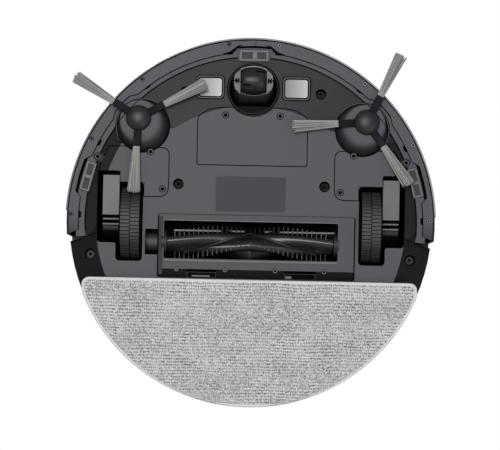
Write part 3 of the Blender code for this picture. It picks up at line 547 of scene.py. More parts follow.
def make_bumper_trim():
    """The rim outside the lip's groove, painted light as a lit edge; black strips in the groove and in the
    gaps beside the lip and the ring, real gaps with their shadow painted in; and the seams.
    """
    low = lowest("bumper_shell")
    ring_low = lowest("sensor_ring")
    # Painted highlight: the bumper's lit outer rim
    rim_line("bumper_rim_highlight", lambda turn: 173.4, (-87.0, 87.0),
             ((0.0, low + 0.08), (1.35, low + 0.3), (1.68, low + 1.2), (0.0, low + 1.2)), "bumper", RIM_HIGHLIGHT)
    # Painted shadow: black strips in the groove and in the gaps beside the lip and the ring
    rim_line("bumper_groove_shadow", lambda turn: 172.5, (-87.0, 87.0),
             box_section(0.0, 1.0, low - 0.03, low + 0.5), "bumper")
    rim_line("lip_gap_shadow", lip_radius, (-93.6, 93.6), box_section(-0.75, 0.25, low + 1.82, low + 1.92), "bumper")
    rim_line("ring_gap_shadow", ring_radius, (-94.0, 94.0), box_section(-0.4, 0.55, ring_low - 0.2, ring_low + 0.1))
    notch = ((3.8, 167.9), (4.9, 167.8), (5.5, 167.1), (6.0, 165.4), (6.5, 163.9), (7.1, 163.0),
             (8.0, 162.4), (9.2, 162.0), (10.6, 161.8))
    widths = (0.5, 0.9, 1.3, 1.6, 1.7, 1.7, 1.6, 1.1, 0.4)
    for side, name in SIDES:
        places = [Vector(polar(radius, side * turn)) for turn, radius in notch]
        loops = []
        neighbours = zip(places[:1] + places, places[1:] + places[-1:])
        for place, (before, after), width in zip(places, neighbours, widths):
            across = (after - before).orthogonal().normalized() * width / 2.0
            loops.append([(*(place + across * share), height)
                          for share, height in box_section(-1.0, 1.0, low - 0.05, low + 0.5)])
        seam(f"{name}_notch_line", loops, "bumper")
        for turn in BUMPER_SCREW_TURNS[1:]:
            outer = [polar(lip_radius(turn + step) + 0.3, side * (turn + step)) for step in LENS]
            inner = [polar(lip_radius(turn + step) - 0.2 - 1.6 * math.cos(math.pi * step / 4.0),
                           side * (turn + step)) for step in reversed(LENS)]
            seam(f"{name}_ring_slot_{int(turn)}", prism_loops(outer + inner, ring_low - 0.15, ring_low + 0.1))
        rim_line(f"{name}_crater_line", lambda turn: 156.5, (side * 43.4, side * 55.1),
                 box_section(0.0, 0.7, PLATEAU_Z + 0.2, PLATEAU_Z + 0.6))
        start, end = Vector((145.2, 13.0)), Vector((169.5, 22.8))
        loops = []
        for i in range(9):
            place = start.lerp(end, i / 8.0)
            z = PLATEAU_Z + 13.0 * (place.length - 146.0) / 26.0
            loops.append([(side * place.x, place.y + dy, z + dz)
                          for dy, dz in box_section(-0.45, 0.45, -0.12, 0.5)])
        seam(f"{name}_side_seam", loops)
    seam("bumper_seam", prism_loops(rectangle(1.2, 1.7, -172.2, -167.6), low - 0.04, low + 0.3), "bumper")


# Sensors and contacts

def window_frame(name, body, node, centre, turn, size, windows):
    """A light frame round two sunken windows, turned about its centre."""
    z = lowest(node)
    half_length, half_width = size[0] / 2.0, size[1] / 2.0
    window_half = half_width - 1.9
    edges = [-half_length, *(edge for window in windows for edge in window), half_length]
    rails = [rectangle(low, high, -window_half - 0.05, window_half + 0.05)
             for low, high in zip(edges[::2], edges[1::2])]
    rails += [rectangle(-half_length, half_length, low, high)
              for low, high in ((-half_width, -window_half), (window_half, half_width))]
    bm = bmesh.new()
    for rail in rails:
        loops_into(bm, prism_loops(spun(rail, turn, centre), z, z + 2.2))
    frame_piece = finished(name, bm, LIGHT, body, bevel=0.25)
    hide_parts(node)
    bm = bmesh.new()
    for low, high in windows:
        pane = rectangle(low - 0.2, high + 0.2, -window_half - 0.2, window_half + 0.2)
        loops_into(bm, prism_loops(spun(pane, turn, centre), z + 0.9, z + 1.6))
    finished(f"{name}_panes", bm, WINDOW, body)


def make_sensors_and_contacts():
    x, y, _ = middle("front_cliff_sensor")
    window_frame("front_sensor_frame", "chassis", "front_cliff_sensor", (x, y), 0.0, (27.2, 10.2),
                 ((-11.4, -1.2), (3.0, 11.6)))
    for side, name in SIDES:
        centre = polar(159.7, side * 75.4)
        window_frame(f"{name}_sensor_frame", "chassis", f"{name}_cliff_sensor", centre, side * -14.6 + 90.0,
                     (27.6, 9.2), ((-12.0, -1.6), (1.6, 12.0)))
        x, y, _ = middle(f"{name}_charge_contact")
        z = lowest(f"{name}_charge_contact")
        dress(f"{name}_charge_contact", contact_metal(name, x))
        for part, material, sizes in (
                ("outline", BLACK, ((13.4, 11.5, 3.8, -0.95), (12.5, 10.6, 3.3, -0.95))),
                ("frame", TRIM, ((12.6, 10.7, 3.3, -1.15), (11.6, 9.7, 2.8, -1.15))),
                ("gap", BLACK, ((11.7, 9.8, 2.9, -0.95), (10.6, 8.5, 2.2, -0.2)))):
            outer, inner = sizes
            steps = ((*outer[:3], 2.2), outer, inner, (*inner[:3], 2.2))
            rings = [[(a, b, z + height)
                      for a, b in rounded(x - half_x, x + half_x, y - half_y, y + half_y, corner)]
                     for half_x, half_y, corner, height in steps]
            solid(f"{name}_contact_{part}", rings, material, "chassis", closed=True)
    tab = rounded(-15.3, 15.3, -163.6, -152.3, 2.6)
    solid("front_sensor_tab", prism_loops(tab, 12.4, 13.6), FLAT_GREY, "chassis",
          bevel=0.3)


# Buttons

def make_button_signs():
    """Plain printed signs on the two buttons: a ring with a stroke for power, and a house for home."""
    x, y, _ = middle("power_button")
    low, high = span("power_button")
    unit = (high[0] - low[0]) / 10.0
    ring = arc(3.1 * unit, -140.0, 140.0, 24, (x, y)) + arc(2.1 * unit, 140.0, -140.0, 24, (x, y))
    stroke = [(x + a * unit, y + b * unit) for a, b in rectangle(-0.5, 0.5, 0.4, 3.6)]
    bm = bmesh.new()
    for outline in (ring, stroke):
        loops_into(bm, prism_loops(outline, high[2] - 0.05, high[2] + 0.06))
    finished("power_sign", bm, DARK, "power")
    x, y, _ = middle("home_button")
    top = span("home_button")[1][2]
    house = [(x + a * unit, y + b * unit) for a, b in (
        (-2.2, -2.6), (-0.7, -2.6), (-0.7, -0.8), (0.7, -0.8), (0.7, -2.6), (2.2, -2.6), (2.2, 0.2),
        (3.2, 0.2), (0.0, 3.2), (-3.2, 0.2), (-2.2, 0.2))]
    solid("home_sign", prism_loops(house, top - 0.05, top + 0.06), DARK, "home")


# Caster

def make_caster():
    """The slotted tread, the skirt round it, the rims of socket and fork, and the axle's clips and pins."""
    x, y, _ = CASTER
    wheel_y, wheel_z = CASTER_WHEEL[1], CASTER_WHEEL[2]
    profile = [(1.9, -11.3), (8.2, -11.3), (9.6, -11.0)]
    profile += [(10.6 + 2.6 * math.cos(math.radians(angle)), 10.8 * math.sin(math.radians(angle)))
                for angle in range(-80, 81, 10)]
    profile += [(9.6, 11.0), (8.2, 11.3), (1.9, 11.3)]
    tread = turned("caster_tread", profile, 56, RUBBER, "caster_roller", "X",
                   (0.0, wheel_y, wheel_z), closed=True, smooth=50.0)
    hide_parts("caster_wheel")
    bm = bmesh.new()
    for slot_x, half, turn in ((6.2, 4.2, -38.0), (-6.2, 3.4, 24.0), (5.0, 3.6, 150.0), (-5.0, 4.0, 214.0)):
        outward, forward = wheel_axes(math.radians(turn))
        sections = []
        for i in range(9):
            place = Vector((slot_x + half * (i / 4.0 - 1.0), wheel_y, wheel_z))
            reach = 10.66 + 2.6 * math.sqrt(1.0 - (place.x / 10.8) ** 2)
            sections.append([place + forward * b + outward * r
                             for b, r in box_section(-0.8, 0.8, reach - 1.6, reach)])
        loops_into(bm, sections)
    finished("caster_wheel_slots", bm, BLACK, "caster_roller")
    oval = rounded(-18.0, 18.0, -147.6, -120.2, 12.0, 8)
    skirt = []
    for share, height in ((0.0, 12.2), (0.15, 13.4), (0.55, 18.5), (1.0, 24.2)):
        loop = []
        for px, py in oval:
            reach = math.hypot(px - x, py - y)
            target = reach + (21.6 - reach) * share
            loop.append((x + (px - x) * target / reach, y + (py - y) * target / reach, height))
        skirt.append(loop)
    inner = [[(x + (px - x) * 0.95, y + (py - y) * 0.95, height) for px, py, height in loop]
             for loop in reversed(skirt)]
    solid("caster_skirt", skirt + inner, SKIRT, "caster", closed=True, smooth=60.0)
    socket_z = lowest("caster_socket")
    for name, outer, inner_r, rise, material in (
            ("lining", 24.6, 22.95, -0.06, BLACK), ("line", 23.6, 23.25, -0.12, DARK)):
        rim = [(outer, socket_z + 3.0), (outer, socket_z + rise), (inner_r, socket_z + rise),
               (inner_r, socket_z + 3.0)]
        turned(f"caster_socket_{name}", rim, 64, material, "chassis", centre=(x, y, 0.0),
               closed=True)
    # Light rims at the front and rear of the fork; the front one takes the bright trim as a painted highlight
    for name, half_x, end_y, middle_y, z, thick, material in (
            ("front", 12.2, -144.4, -147.4, 10.9, 0.75, BRIGHT),
            ("rear", 17.5, -125.8, -119.9, 11.2, 0.35, LIGHT)):
        points = [(half_x * t, end_y + (middle_y - end_y) * (1.0 - t * t), z)
                  for t in (-1.0 + i / 16.0 for i in range(33))]
        tube(f"caster_{name}_rim", points, thick, material, "caster")
    for side, name in SIDES:
        bm = bmesh.new()
        for x0, x1, half in ((13.6, 14.7, 2.3), (14.7, 16.0, 1.0), (16.0, 17.3, 2.3)):
            outline = rectangle(*sorted((side * x0, side * x1)), wheel_y - half, wheel_y + half)
            loops_into(bm, prism_loops(outline, 10.6, 12.8))
        finished(f"caster_clip_{name}", bm, BLACK, "caster")
        turned(f"caster_pin_{name}", [(0.2, 10.0), (0.8, 10.2), (0.8, 12.0)], 16, LIGHT, "caster",
               centre=(side * 12.9, wheel_y, 0.0))


# Side brushes

def strand(bm, start, end, radius, sag, tone=1.0, taper=0.35):
    """A bristle from start to end, sagging in the middle, with its own tone."""
    layer = bm.verts.layers.float.get(TONE_AND_SHADE) or bm.verts.layers.float.new(TONE_AND_SHADE)
    before = len(bm.verts)
    direction = (end - start).normalized()
    across = direction.cross(Vector((0.0, 0.0, 1.0))).normalized()
    up = across.cross(direction)
    loops = []
    for i in range(4):
        t = i / 3.0
        point = start.lerp(end, t) + Vector((0.0, 0.0, sag * 4.0 * t * (1.0 - t)))
        size = radius * (1.0 - taper * t)
        loops.append([point + across * size * a + up * size * b
                      for a, b in ((1, 0), (0.5, 0.87), (-0.5, 0.87), (-1, 0), (-0.5, -0.87), (0.5, -0.87))])
    loops_into(bm, loops)
    bm.verts.ensure_lookup_table()
    for index in range(before, len(bm.verts)):
        bm.verts[index][layer] = tone


# A brush arm's sections: radius, half width, lowest and highest Z
ARM_SECTIONS = ((10.6, 3.7, 8.0, 12.0), (14.0, 3.6, 6.6, 10.4), (20.0, 3.5, 5.0, 8.4), (27.4, 3.3, 3.4, 6.6))


def make_side_brush(name, arms):
    """A domed hub, three flat arms and their bristles; arms holds each arm's angle in degrees."""
    body = f"{name}_brush"
    cx, cy, _ = middle(f"{name}_side_brush_hub")
    low = lowest(f"{name}_side_brush_hub")
    dome = [(12.4 * math.sin(t), low + 7.4 * (1.0 - math.cos(t)) ** 1.1)
            for t in (math.radians(2.0 + 74.0 * i / 12) for i in range(13))]
    dome += [(12.45, low + 7.0), (12.3, low + 8.0), (3.4, low + 8.0), (3.4, low + 13.6)]
    hub = turned(f"{name}_brush_dome", dome, 56, HUB, body, centre=(cx, cy, 0.0), smooth=60.0)
    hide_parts(f"{name}_side_brush_hub")
    roots = bmesh.new()
    hairs = bmesh.new()
    collar = box_section(8.0, 12.6, low + 8.1, low + 8.9)
    loops_into(roots, turned_loops(collar, 40, centre=(cx, cy, 0.0)), closed=True)
    for degrees in arms:
        angle = math.radians(degrees)
        outward = Vector((math.cos(angle), -math.sin(angle), 0.0))
        across = Vector((outward.y, -outward.x, 0.0))

        def at(radius, side, height, outward=outward, across=across):
            return Vector((cx, cy, 0.0)) + outward * radius + across * side + Vector((0.0, 0.0, height))
        loops = [[at(radius, side * half, height) for side, height in (
            (1.0, bottom + 0.35), (0.9, bottom), (-0.9, bottom), (-1.0, bottom + 0.35), (-1.0, top),
            (1.0, top))] for radius, half, bottom, top in ARM_SECTIONS]
        loops_into(roots, loops)
        count = 15
        for layer in range(3):
            for k in range(count):
                lateral = (k + 0.5) / count * 2.0 - 1.0 + random.uniform(-0.05, 0.05)
                height = (-0.9, 0.0, 0.9)[layer]
                length = 71.6 - random.random() ** 2 * 3.0 - abs(lateral) * 1.0
                start = at(26.4, lateral * 2.9, 4.9 + height)
                end = at(length, lateral * 5.8 + random.uniform(-0.5, 0.5), 2.4 + height)
                # A random tone per strand, with the two higher layers painted darker as shade behind the
                # lowest
                tone = random.uniform(0.70, 1.0) if layer == 0 else random.uniform(0.45, 0.7)
                strand(hairs, start, end, random.uniform(0.26, 0.36), random.uniform(-0.5, 0.2), tone, -0.2)
    root = finished(f"{name}_brush_roots", roots, ARM, body, bevel=0.2)
    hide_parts(f"{name}_side_brush_bristles")
    finished(f"{name}_brush_tufts", hairs, BRISTLE, body, smooth=80.0)


CRATER_DEPTH = 4.1


def make_craters():
    """The mounds round the side brushes' shafts: flat under the hub, sinking towards the far rim."""
    flat_r = 16.4
    for side, name in SIDES:
        hub_x, hub_y, _ = middle(f"{name}_side_brush_hub")
        top = PLATEAU_Z + 0.35
        rim = circle(CRATER_R, 80, (side * CRATER[0], CRATER[1]))
        flat = circle(flat_r, 80, (hub_x, hub_y))
        widest = max(math.dist(a, b) for a, b in zip(rim, flat))
        loops = []
        for i in range(21):
            share = i / 20.0
            fall = (1.0 - share) ** 2.2
            loops.append([(a[0] + (b[0] - a[0]) * share, a[1] + (b[1] - a[1]) * share,
                           top + CRATER_DEPTH * fall * math.dist(a, b) / widest) for a, b in zip(rim, flat)])
        loops += [[(a, b, height) for a, b in circle(radius, 80, (hub_x, hub_y))]
                  for radius, height in ((9.0, top), (5.0, top), (4.8, top + CRATER_DEPTH))]
        solid(f"{name}_crater_mound", loops, MOUND, "chassis", closed=True, smooth=60.0)


# Drive wheels

def make_drive(side, name):
    """A drive wheel's tyre with its two rows of ribs, and on its arm the light bars, painted highlights of
    its shiny cylinder, and the spring tube.
    """
    low, high = span(f"{name}_tyre")
    _, y, z = middle(f"{name}_tyre")
    centre = (low[0], y, z)
    radius = (high[2] - low[2]) / 2.0
    width = high[0] - low[0]
    profile = [(27.0, 0.0), (31.4, 0.0), (32.2, 0.8), (32.2, width - 0.8), (31.4, width), (27.0, width)]
    tyre = turned(f"{name}_tyre_base", profile, 64, TYRE_GROOVE_SHADE, f"{name}_wheel", "X", centre,
                  closed=True)
    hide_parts(f"{name}_tyre")
    ribs = 60
    bm = bmesh.new()
    for row, (low, high) in enumerate(((0.4, width * 0.475), (width * 0.525, width - 0.4))):
        for i in range(ribs):
            outward, forward = wheel_axes(2.0 * math.pi * (i + 0.5 * row) / ribs)
            rings = [[Vector(centre) + Vector((ax, 0.0, 0.0)) + outward * reach + forward * af
                      for ax, af in rectangle(low, high, -half, half)]
                     for reach, half in ((31.8, 1.6), (radius - 0.35, 1.55), (radius, 1.4))]
            loops_into(bm, rings)
    finished(f"{name}_tyre_ribs", bm, TYRE, f"{name}_wheel")
    arm = f"{name}_arm"
    ends = sorted((side * 124.6, side * 139.6))
    # Painted highlights: two light bars for the glints on the arm's shiny cylinder
    for i, bar_y in enumerate((-0.6, 4.2)):
        tube(f"{name}_arm_glint_bar_{i}", [(end, bar_y, 14.5) for end in ends], 0.95, GLINT_BAR, arm, 16)
    collar = [(2.6, ends[0]), (3.3, ends[0] + 0.6), (3.3, ends[1] - 0.6), (2.6, ends[1])]
    turned(f"{name}_arm_spring_tube", collar, 28, SHADE, arm, "X", (0.0, 7.4, 17.2))


WELL = ((101.9, -34.9, -1.0, -1.0), (124.5, -34.9, -1.0, -1.0), (124.5, -45.4, -1.0, -1.0),
        (144.9, -45.4, 1.0, -1.0), (144.9, 21.7, 1.0, 1.0), (126.9, 21.7, 1.0, 1.0),
        (126.9, 38.7, 1.0, 1.0), (101.9, 38.7, -1.0, 1.0))
ARM_FRONT = -40.0       # the well's corners ahead of this are beside the arm
ARM_SWING = 2.7         # how far the arm's lower corner swings forward as the wheel droops


def well_loop(side, wall, swing, height):
    """The well's outline, moved outwards by a wall and, at the arm, forward by the arm's swing."""
    loop = [(side * (a + out_a * wall), b + out_b * wall - (swing if b < ARM_FRONT else 0.0), height)
            for a, b, out_a, out_b in WELL]
    return loop if side > 0.0 else loop[::-1]


def make_well_corners(side, name):
    """The small radii at the front corners of the opening, level with the plateau."""
    bm = bmesh.new()
    for x, y, radius in ((101.5, -35.3, 2.8), (124.1, -45.8, 1.7)):
        curve = arc(radius, -90.0, 0.0, 6, (x + radius, y + radius))
        outline = [(side * a, b) for a, b in [(x, y)] + curve]
        loops_into(bm, prism_loops(outline, PLATEAU_Z + 0.02, PLATEAU_Z + 1.8))
    finished(f"{name}_well_corners", bm, FLAT_GREY, "chassis")


def make_wells():
    """Liners inside the openings round the drive wheels, wider above the floor, black as painted shade deep
    in the wells.
    """
    steps = ((0.5, ARM_SWING, 70.6), (0.5, ARM_SWING, 14.4), (0.5, 0.0, 13.4), (0.5, 0.0, 10.8),
             (0.0, 0.0, 10.8), (0.0, 0.0, 13.4), (0.0, ARM_SWING, 14.4), (0.0, ARM_SWING, 70.0))
    for side, name in SIDES:
        seam(f"{name}_shaded_wheel_well", [well_loop(side, *step) for step in steps])
        make_well_corners(side, name)


# Main brush

def helix(x, start):
    """The turn of a chevron row at a place along the roller; 0 points down and 90 to the rear."""
    return math.radians(start + 1.2 * abs(x))


def roller_point(x, radius, angle):
    return Vector((x, ROLLER[1] + radius * math.sin(angle), ROLLER[2] - radius * math.cos(angle)))


def make_roller():
    """The main brush: a lobed core, three blades and three rows of tufts in chevrons, and its end caps."""
    half = 78.0
    steps = 78
    sides = 36
    loops = []
    for i in range(steps + 1):
        x = -half + 2.0 * half * i / steps
        twist = helix(x, 18.0)
        loops.append([roller_point(x, 8.3 + 1.7 * math.cos(3.0 * (angle - twist)), angle)
                      for angle in (2.0 * math.pi * k / sides for k in range(sides))])
    core = solid("roller_core", loops, CORE, "main_brush", smooth=60.0)
    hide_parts("main_brush_sleeve")
    bm = bmesh.new()
    for start, reach in ((-43.0, 62.0), (77.0, 62.0), (197.0, 28.0)):
        loops = []
        for i in range(steps + 1):
            x = reach * (2.0 * i / steps - 1.0)
            angle = helix(x, start)
            lean = math.radians(7.0)
            half_section = ((7.6, 0.0, 0.20), (12.0, 0.3 * lean, 0.08), (16.3, lean, 0.035))
            ring = [(radius, angle + turn - half) for radius, turn, half in half_section]
            ring += [(radius, angle + turn + half) for radius, turn, half in reversed(half_section)]
            loops.append([roller_point(x, radius, turn) for radius, turn in ring])
        loops_into(bm, loops)
    finished("roller_blades", bm, BLADE, "main_brush", smooth=50.0)
    bm = bmesh.new()
    for start in (0.0, 120.0, 240.0):
        for i in range(-16, 17):
            x = 4.45 * i
            angle = helix(x, start)
            for k in range(5):
                turn = 2.0 * math.pi * k / 5 + random.uniform(-0.3, 0.3)
                offset = 0.26 * math.cos(turn)
                spread = 0.030 * math.sin(turn)
                base = roller_point(x + offset, 8.6, angle + spread)
                tip = roller_point(x + offset * 1.3, 16.6 + random.uniform(-0.5, 0.2), angle + spread)
                strand(bm, base, tip, 0.22, 0.0, random.uniform(0.7, 1.0), 0.1)
    finished("roller_tufts", bm, ROLLER_BRISTLE, "main_brush", smooth=80.0)
    for name, ends in (("left", (-84.6, -78.4)), ("right", (78.4, 83.6))):
        cap = [(6.0, ends[0]), (11.6, ends[0] + 0.5), (11.6, ends[1] - 0.5), (6.0, ends[1])]
        turned(f"roller_cap_{name}", cap, 40, DARK, "main_brush", "X",
               (0.0, ROLLER[1], ROLLER[2]), closed=True, smooth=50.0)
    bar = rectangle(7.2, 8.9, 34.0, 36.0)
    for name, x0, x1 in (("left", -73.0, -5.7), ("right", 12.8, 81.0)):
        solid(f"chamber_rib_{name}", prism_loops(bar, x0, x1, "X"), BRIGHT, "chassis",
              bevel=0.3)


def make_guard_details():
    """The light lips in front of and behind the opening, painted highlights along its edges; the bevel,
    painted in shade, and the real gaps, with their shadow painted black, at the ends; and the latches.
    """
    (left, front, z), (right, rear, _) = span("brush_guard")
    back_lip = [(35.7, z + 0.8), (35.8, z - 0.2), (36.6, z - 0.8), (38.0, z - 0.8), (38.7, z - 0.3),
                (38.9, z + 0.8)]
    front_lip = [(-0.9, z + 0.8), (-0.9, z - 0.35), (-0.2, z - 0.35), (-0.2, z + 0.8)]
    # Painted highlights: the lips are light strips along the edges of the opening
    for name, section in (("rear", back_lip), ("front", front_lip)):
        solid(f"guard_{name}_lip", prism_loops(section, -81.2, 82.2, "X"), LIGHT, "guard")
    # Painted shade on the left bevel, and black strips as painted shadow in the gaps at both ends
    for name, outline, rise, material in (
            ("left_shaded_bevel", rectangle(left + 0.3, left + 4.6, front + 2.0, rear - 2.6), 0.06, SHADE),
            ("left_gap_shadow", rectangle(left - 0.4, left + 0.8, front + 1.6, rear - 2.2), 0.10, BLACK),
            ("right_gap_shadow", rectangle(right - 0.4, right + 0.7, front + 0.6, rear - 0.4), 0.10, BLACK)):
        solid(f"guard_{name}", prism_loops(outline, z - rise, z + 0.4), material, "guard")
    for name, grip in (("left", (-54.6, -37.4, 51.0, 52.5)), ("right", (33.6, 39.4, 50.4, 52.8))):
        low, high = span(f"{name}_guard_latch")
        body = f"{name}_latch"
        plate = rounded(low[0] + 0.4, high[0] - 0.4, low[1] + 0.4, high[1] - 0.2, 1.0)
        solid(f"{name}_latch_pad", prism_loops(plate, low[2] - 0.5, low[2] + 1.5), BLACK, body,
              bevel=0.3)
        solid(f"{name}_latch_grip", prism_loops(rounded(*grip, 0.5), low[2] - 1.0, low[2] - 0.3), LIGHT,
              body, bevel=0.2)


# Mop pad

MOP_CENTRE_Y = 4.0
MOP_R = 170.0
ROW_PITCH = 0.95
RIB_PITCH = 3.0 * ROW_PITCH
LOOP_WIDTH = 0.95


def pad_half_width(y):
    """Half the pad's width at a distance from front to rear."""
    corner = 7.0
    round_end = math.sqrt(max(0.0, MOP_R ** 2 - (y - MOP_CENTRE_Y) ** 2))
    square_end = PAD_HIGH[0] - 0.6
    depth = y - PAD_LOW[1]
    if depth < corner:
        square_end -= corner - math.sqrt(max(0.0, corner ** 2 - (corner - depth) ** 2))
    return min(round_end, square_end)


def pile(x, y):
    """How far the pile stands out and its tone, painted darker in the hollows between loops and rows and
    lighter on the ribs, both about 0 to 1.
    """
    def ripple(length_x, length_y, layer):
        return mathutils.noise.noise(Vector((x / length_x, y / length_y, layer)))
    combed = min(1.0, max(0.25, 0.85 + 1.3 * ripple(60.0, 26.0, 3.0)))
    rib = 0.5 + 0.5 * math.cos(2.0 * math.pi * (y + 1.2 * ripple(34.0, 20.0, 5.0)) / RIB_PITCH)
    row = math.floor(y / ROW_PITCH)
    crown = math.sin(math.pi * (y / ROW_PITCH - row))
    beads = 0.15 * math.cos(math.pi * (x / LOOP_WIDTH + 1.6 * ripple(9.0, 5.0, 17.0)))
    beads += 0.28 * mathutils.noise.cell(Vector((x / LOOP_WIDTH + 0.37 * row, row + 0.5, 7.5)))
    beads += 0.25 * mathutils.noise.noise(Vector((x / 0.8, row * 3.7, 7.0)))
    shifted = x + ripple(2.0, 2.0, 15.0)
    loops = 0.26 * mathutils.noise.cell(Vector((shifted / LOOP_WIDTH, y / LOOP_WIDTH, 9.5)))
    loops += 0.5 * ripple(0.72, 0.72, 9.0)
    speckle = combed * beads * (0.35 if row % 3 == 0 else 1.0) + (1.25 - combed) * loops
    height = 0.5 + 0.8 * speckle + 0.25 * combed * (rib - 0.5)
    # Painted shade: the tone follows the height, darker in the hollows between loops, rows and ribs, over a
    # slow random tone
    tone = 0.77 + 0.12 * ripple(30.0, 18.0, 13.0) + 1.55 * speckle + 0.16 * combed * (crown - 0.5)
    tone += 0.46 * combed * (rib - 0.5)
    return min(1.0, max(0.0, height)), min(1.25, max(0.12, tone))


def make_pad():
    """Rows of loops across a soft pad, with painted shade in their hollows."""
    rows = 320
    columns = 620
    y0, y1 = PAD_LOW[1] + 0.5, PAD_HIGH[1] - 0.5
    verts, tones = [], []
    for j in range(rows + 1):
        y = y0 + (y1 - y0) * j / rows
        half = max(2.0, pad_half_width(y) - 0.5)
        for i in range(columns + 1):
            x = -half + 2.0 * half * i / columns
            height, tone = pile(x, y)
            edge = min(half - abs(x), y - y0, y1 - y)
            crown = min(1.0, max(0.0, edge / 4.0)) ** 0.5
            verts.append((x * MM, y * MM, (2.1 - crown * (1.1 + 0.9 * height)) * MM))
            tones.append(tone)
    width = columns + 1
    faces = [(j * width + i, (j + 1) * width + i, (j + 1) * width + i + 1, j * width + i + 1)
             for j in range(rows) for i in range(columns)]
    border = list(range(width)) + [j * width + columns for j in range(1, rows + 1)]
    border += [rows * width + i for i in range(columns - 1, -1, -1)]
    border += [j * width for j in range(rows - 1, 0, -1)]
    top = len(verts)
    for index in border:
        verts.append((verts[index][0], verts[index][1], PAD_HIGH[2] * MM))
        tones.append(1.0)
    count = len(border)
    faces += [(border[k], border[(k + 1) % count], top + (k + 1) % count, top + k)
              for k in range(count)]
    faces.append(tuple(top + k for k in reversed(range(count))))
    mesh = bpy.data.meshes.new("mop_pad_loops")
    mesh.from_pydata(verts, [], faces)
    tone = mesh.attributes.new(TONE_AND_SHADE, "FLOAT", "POINT")
    tone.data.foreach_set("value", tones)
    mesh.materials.append(PAD)
    mesh.shade_smooth()
    pad = placed("mop_pad_loops", mesh)
    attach(pad, "mop")
    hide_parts("mop_pad")
    make_binding()


def pad_outline(inset):
    """The pad's outline as points, from its half width."""
    ys = []
    y = PAD_LOW[1]
    while y < PAD_HIGH[1]:
        ys.append(y)
        y += 0.6 if y < PAD_LOW[1] + 12.0 or y > PAD_HIGH[1] - 6.0 else 3.0
    right = [(pad_half_width(y), y) for y in ys]
    right.append((pad_half_width(PAD_HIGH[1] - 0.02), PAD_HIGH[1] - 0.02))
    outline = right + [(-x, y) for x, y in reversed(right)]
    result = []
    count = len(outline)
    for i, (x, y) in enumerate(outline):
        ax, ay = outline[i - 1]
        bx, by = outline[(i + 1) % count]
        length = math.hypot(bx - ax, by - ay)
        result.append((x - (by - ay) / length * inset, y + (bx - ax) / length * inset))
    return result


def make_binding():
    """The folded tape round the pad's edge."""
    rings = []
    for i in range(10):
        angle = 2.0 * math.pi * i / 10
        reach, height = 1.7 * math.cos(angle), 2.3 * math.sin(angle)
        rings.append([(x, y, 2.9 + height) for x, y in pad_outline(1.7 - reach)])
    tape = solid("mop_pad_binding", rings, BINDING, "mop", closed=True, smooth=60.0)


# CAD nodes that stay

def dress_frame():
    for material, names in (
            (HOUSING, ("bottom_housing", "battery_cover")),
            (COVER, ("left_wheel_cover", "right_wheel_cover")),
            (SHELL, ("bumper_shell",)),
            (GUARD, ("brush_guard",)),
            (TOP, ("top_housing", "rear_panel")),
            (FLAT_GREY, ("sensor_ring", "fan_impeller", "left_side_brush_motor", "right_side_brush_motor")),
            (LIGHT, ("left_arm_cover", "right_arm_cover", "power_button", "home_button", "bin_filter",
                     "release_button")),
            (SMOKED, ("bumper_window", "lidar_rotor", "dust_bin", "water_tank")),
            (GLOSS, ("lidar_cover", "top_cover_plate")),
            (BLACK, ("caster_socket", "caster_axle", "left_wheel_arm", "right_wheel_arm", "brush_chamber")),
            (DARK, ("left_wheel_hub", "right_wheel_hub", "main_brush_core", "left_guard_latch",
                    "right_guard_latch", "mop_plate", "fan_housing", "tank_bay_liner", "lidar_base",
                    "bin_lid")),
            (FORK, ("caster_fork",)), (BARREL, ("main_brush_gearbox",)), (LABEL, ("rating_label",)),
            (RUBBER, ("tank_plug",)), (BATTERY, ("battery_pack",)), (BOARD, ("main_board",))):
        for node in names:
            dress(node, material)


# Light, floor and camera

def area_light(name, place, aim, size, power):
    data = bpy.data.lights.new(name, "AREA")
    data.shape = "DISK"
    data.size = size
    data.energy = power
    lamp = placed(name, data)
    lamp.location = place
    lamp.rotation_euler = (Vector(aim) - Vector(place)).to_track_quat("-Z", "Y").to_euler()


def make_world():
    """White all round for the camera, and dimmer than that as a light."""
    world = bpy.data.worlds.new("studio")
    bpy.context.scene.world = world
    world.use_nodes = True
    background = world.node_tree.nodes["Background"]
    background.inputs["Color"].default_value = (1.0, 1.0, 1.0, 1.0)
    seen = shade(world, "LightPath", "Is Camera Ray")
    strength = shade(world, "MapRange", "Result", {"Value": seen, "To Min": 0.30, "To Max": 1.0})
    world.node_tree.links.new(strength, background.inputs["Strength"])


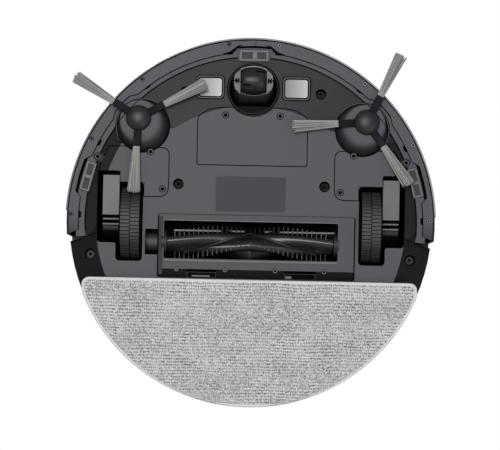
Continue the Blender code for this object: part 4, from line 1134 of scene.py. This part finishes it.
def make_floor():
    """A pale floor that shows only from above, so that the underside can be seen through it."""
    reach = 3.0
    drop = 0.0006
    mesh = bpy.data.meshes.new("floor")
    mesh.from_pydata([(x, y, -drop) for x, y in rectangle(-reach, reach, -reach, reach)], [], [(0, 1, 2, 3)])
    material = principled("floor_paint", (0.80, 0.80, 0.80), 0.7)
    behind = shade(material, "NewGeometry", "Backfacing")
    clear = shade(material, "BsdfTransparent", "BSDF")
    surface = shade(material, "MixShader", "Shader",
                    {"Fac": behind, 1: shader_of(material).outputs["BSDF"], 2: clear})
    material.node_tree.links.new(surface, material.node_tree.nodes["Material Output"].inputs["Surface"])
    mesh.materials.append(material)
    floor = placed("floor", mesh)
    floor.visible_shadow = False
    floor.visible_diffuse = False
    floor.visible_glossy = False


def make_camera():
    """A long lens under the robot, with the bumper at the top of the view."""
    distance = 2.0
    tilt = math.radians(2.5)
    roll = math.radians(1.2)
    target = Vector((-0.00057, 0.00264, 0.012))
    forward = Vector((0.0, -math.sin(tilt), math.cos(tilt)))
    up = (Vector((0.0, -1.0, 0.0)) + forward * forward.y).normalized()
    right = forward.cross(up)
    rolled_up = up * math.cos(roll) - right * math.sin(roll)
    rolled_right = right * math.cos(roll) + up * math.sin(roll)
    data = bpy.data.cameras.new("camera")
    data.sensor_width = 36.0
    data.lens = 36.0 * distance / 0.472
    data.clip_start = 0.1
    data.clip_end = 20.0
    camera = placed("camera", data)
    turn = Matrix((rolled_right, rolled_up, -forward)).transposed()
    camera.matrix_world = Matrix.Translation(target - forward * distance) @ turn.to_4x4()
    bpy.context.scene.camera = camera


def make_lights():
    area_light("key_below", (-0.25, -0.35, -1.9), (0.0, 0.0, 0.0), 0.9, 17.0)
    area_light("fill_below", (0.9, 0.9, -1.4), (0.0, 0.0, 0.0), 1.2, 4.0)
    area_light("key_above", (-0.9, -1.2, 1.8), (0.0, 0.0, 0.05), 1.2, 40.0)
    area_light("fill_above", (1.4, 0.9, 1.4), (0.0, 0.0, 0.05), 1.4, 18.0)
    bpy.context.scene.view_settings.view_transform = "Standard"


dress_frame()
make_screws()
make_bumper_trim()
make_sensors_and_contacts()
make_button_signs()
make_caster()
make_craters()
make_side_brush("right", (64.5, 184.5, 304.5))
make_side_brush("left", (28.0, 148.0, 268.0))
make_drive(1.0, "right")
make_drive(-1.0, "left")
make_wells()
make_roller()
make_guard_details()
make_pad()
make_world()
make_floor()
make_lights()
make_camera()

bpy.context.view_layer.update()
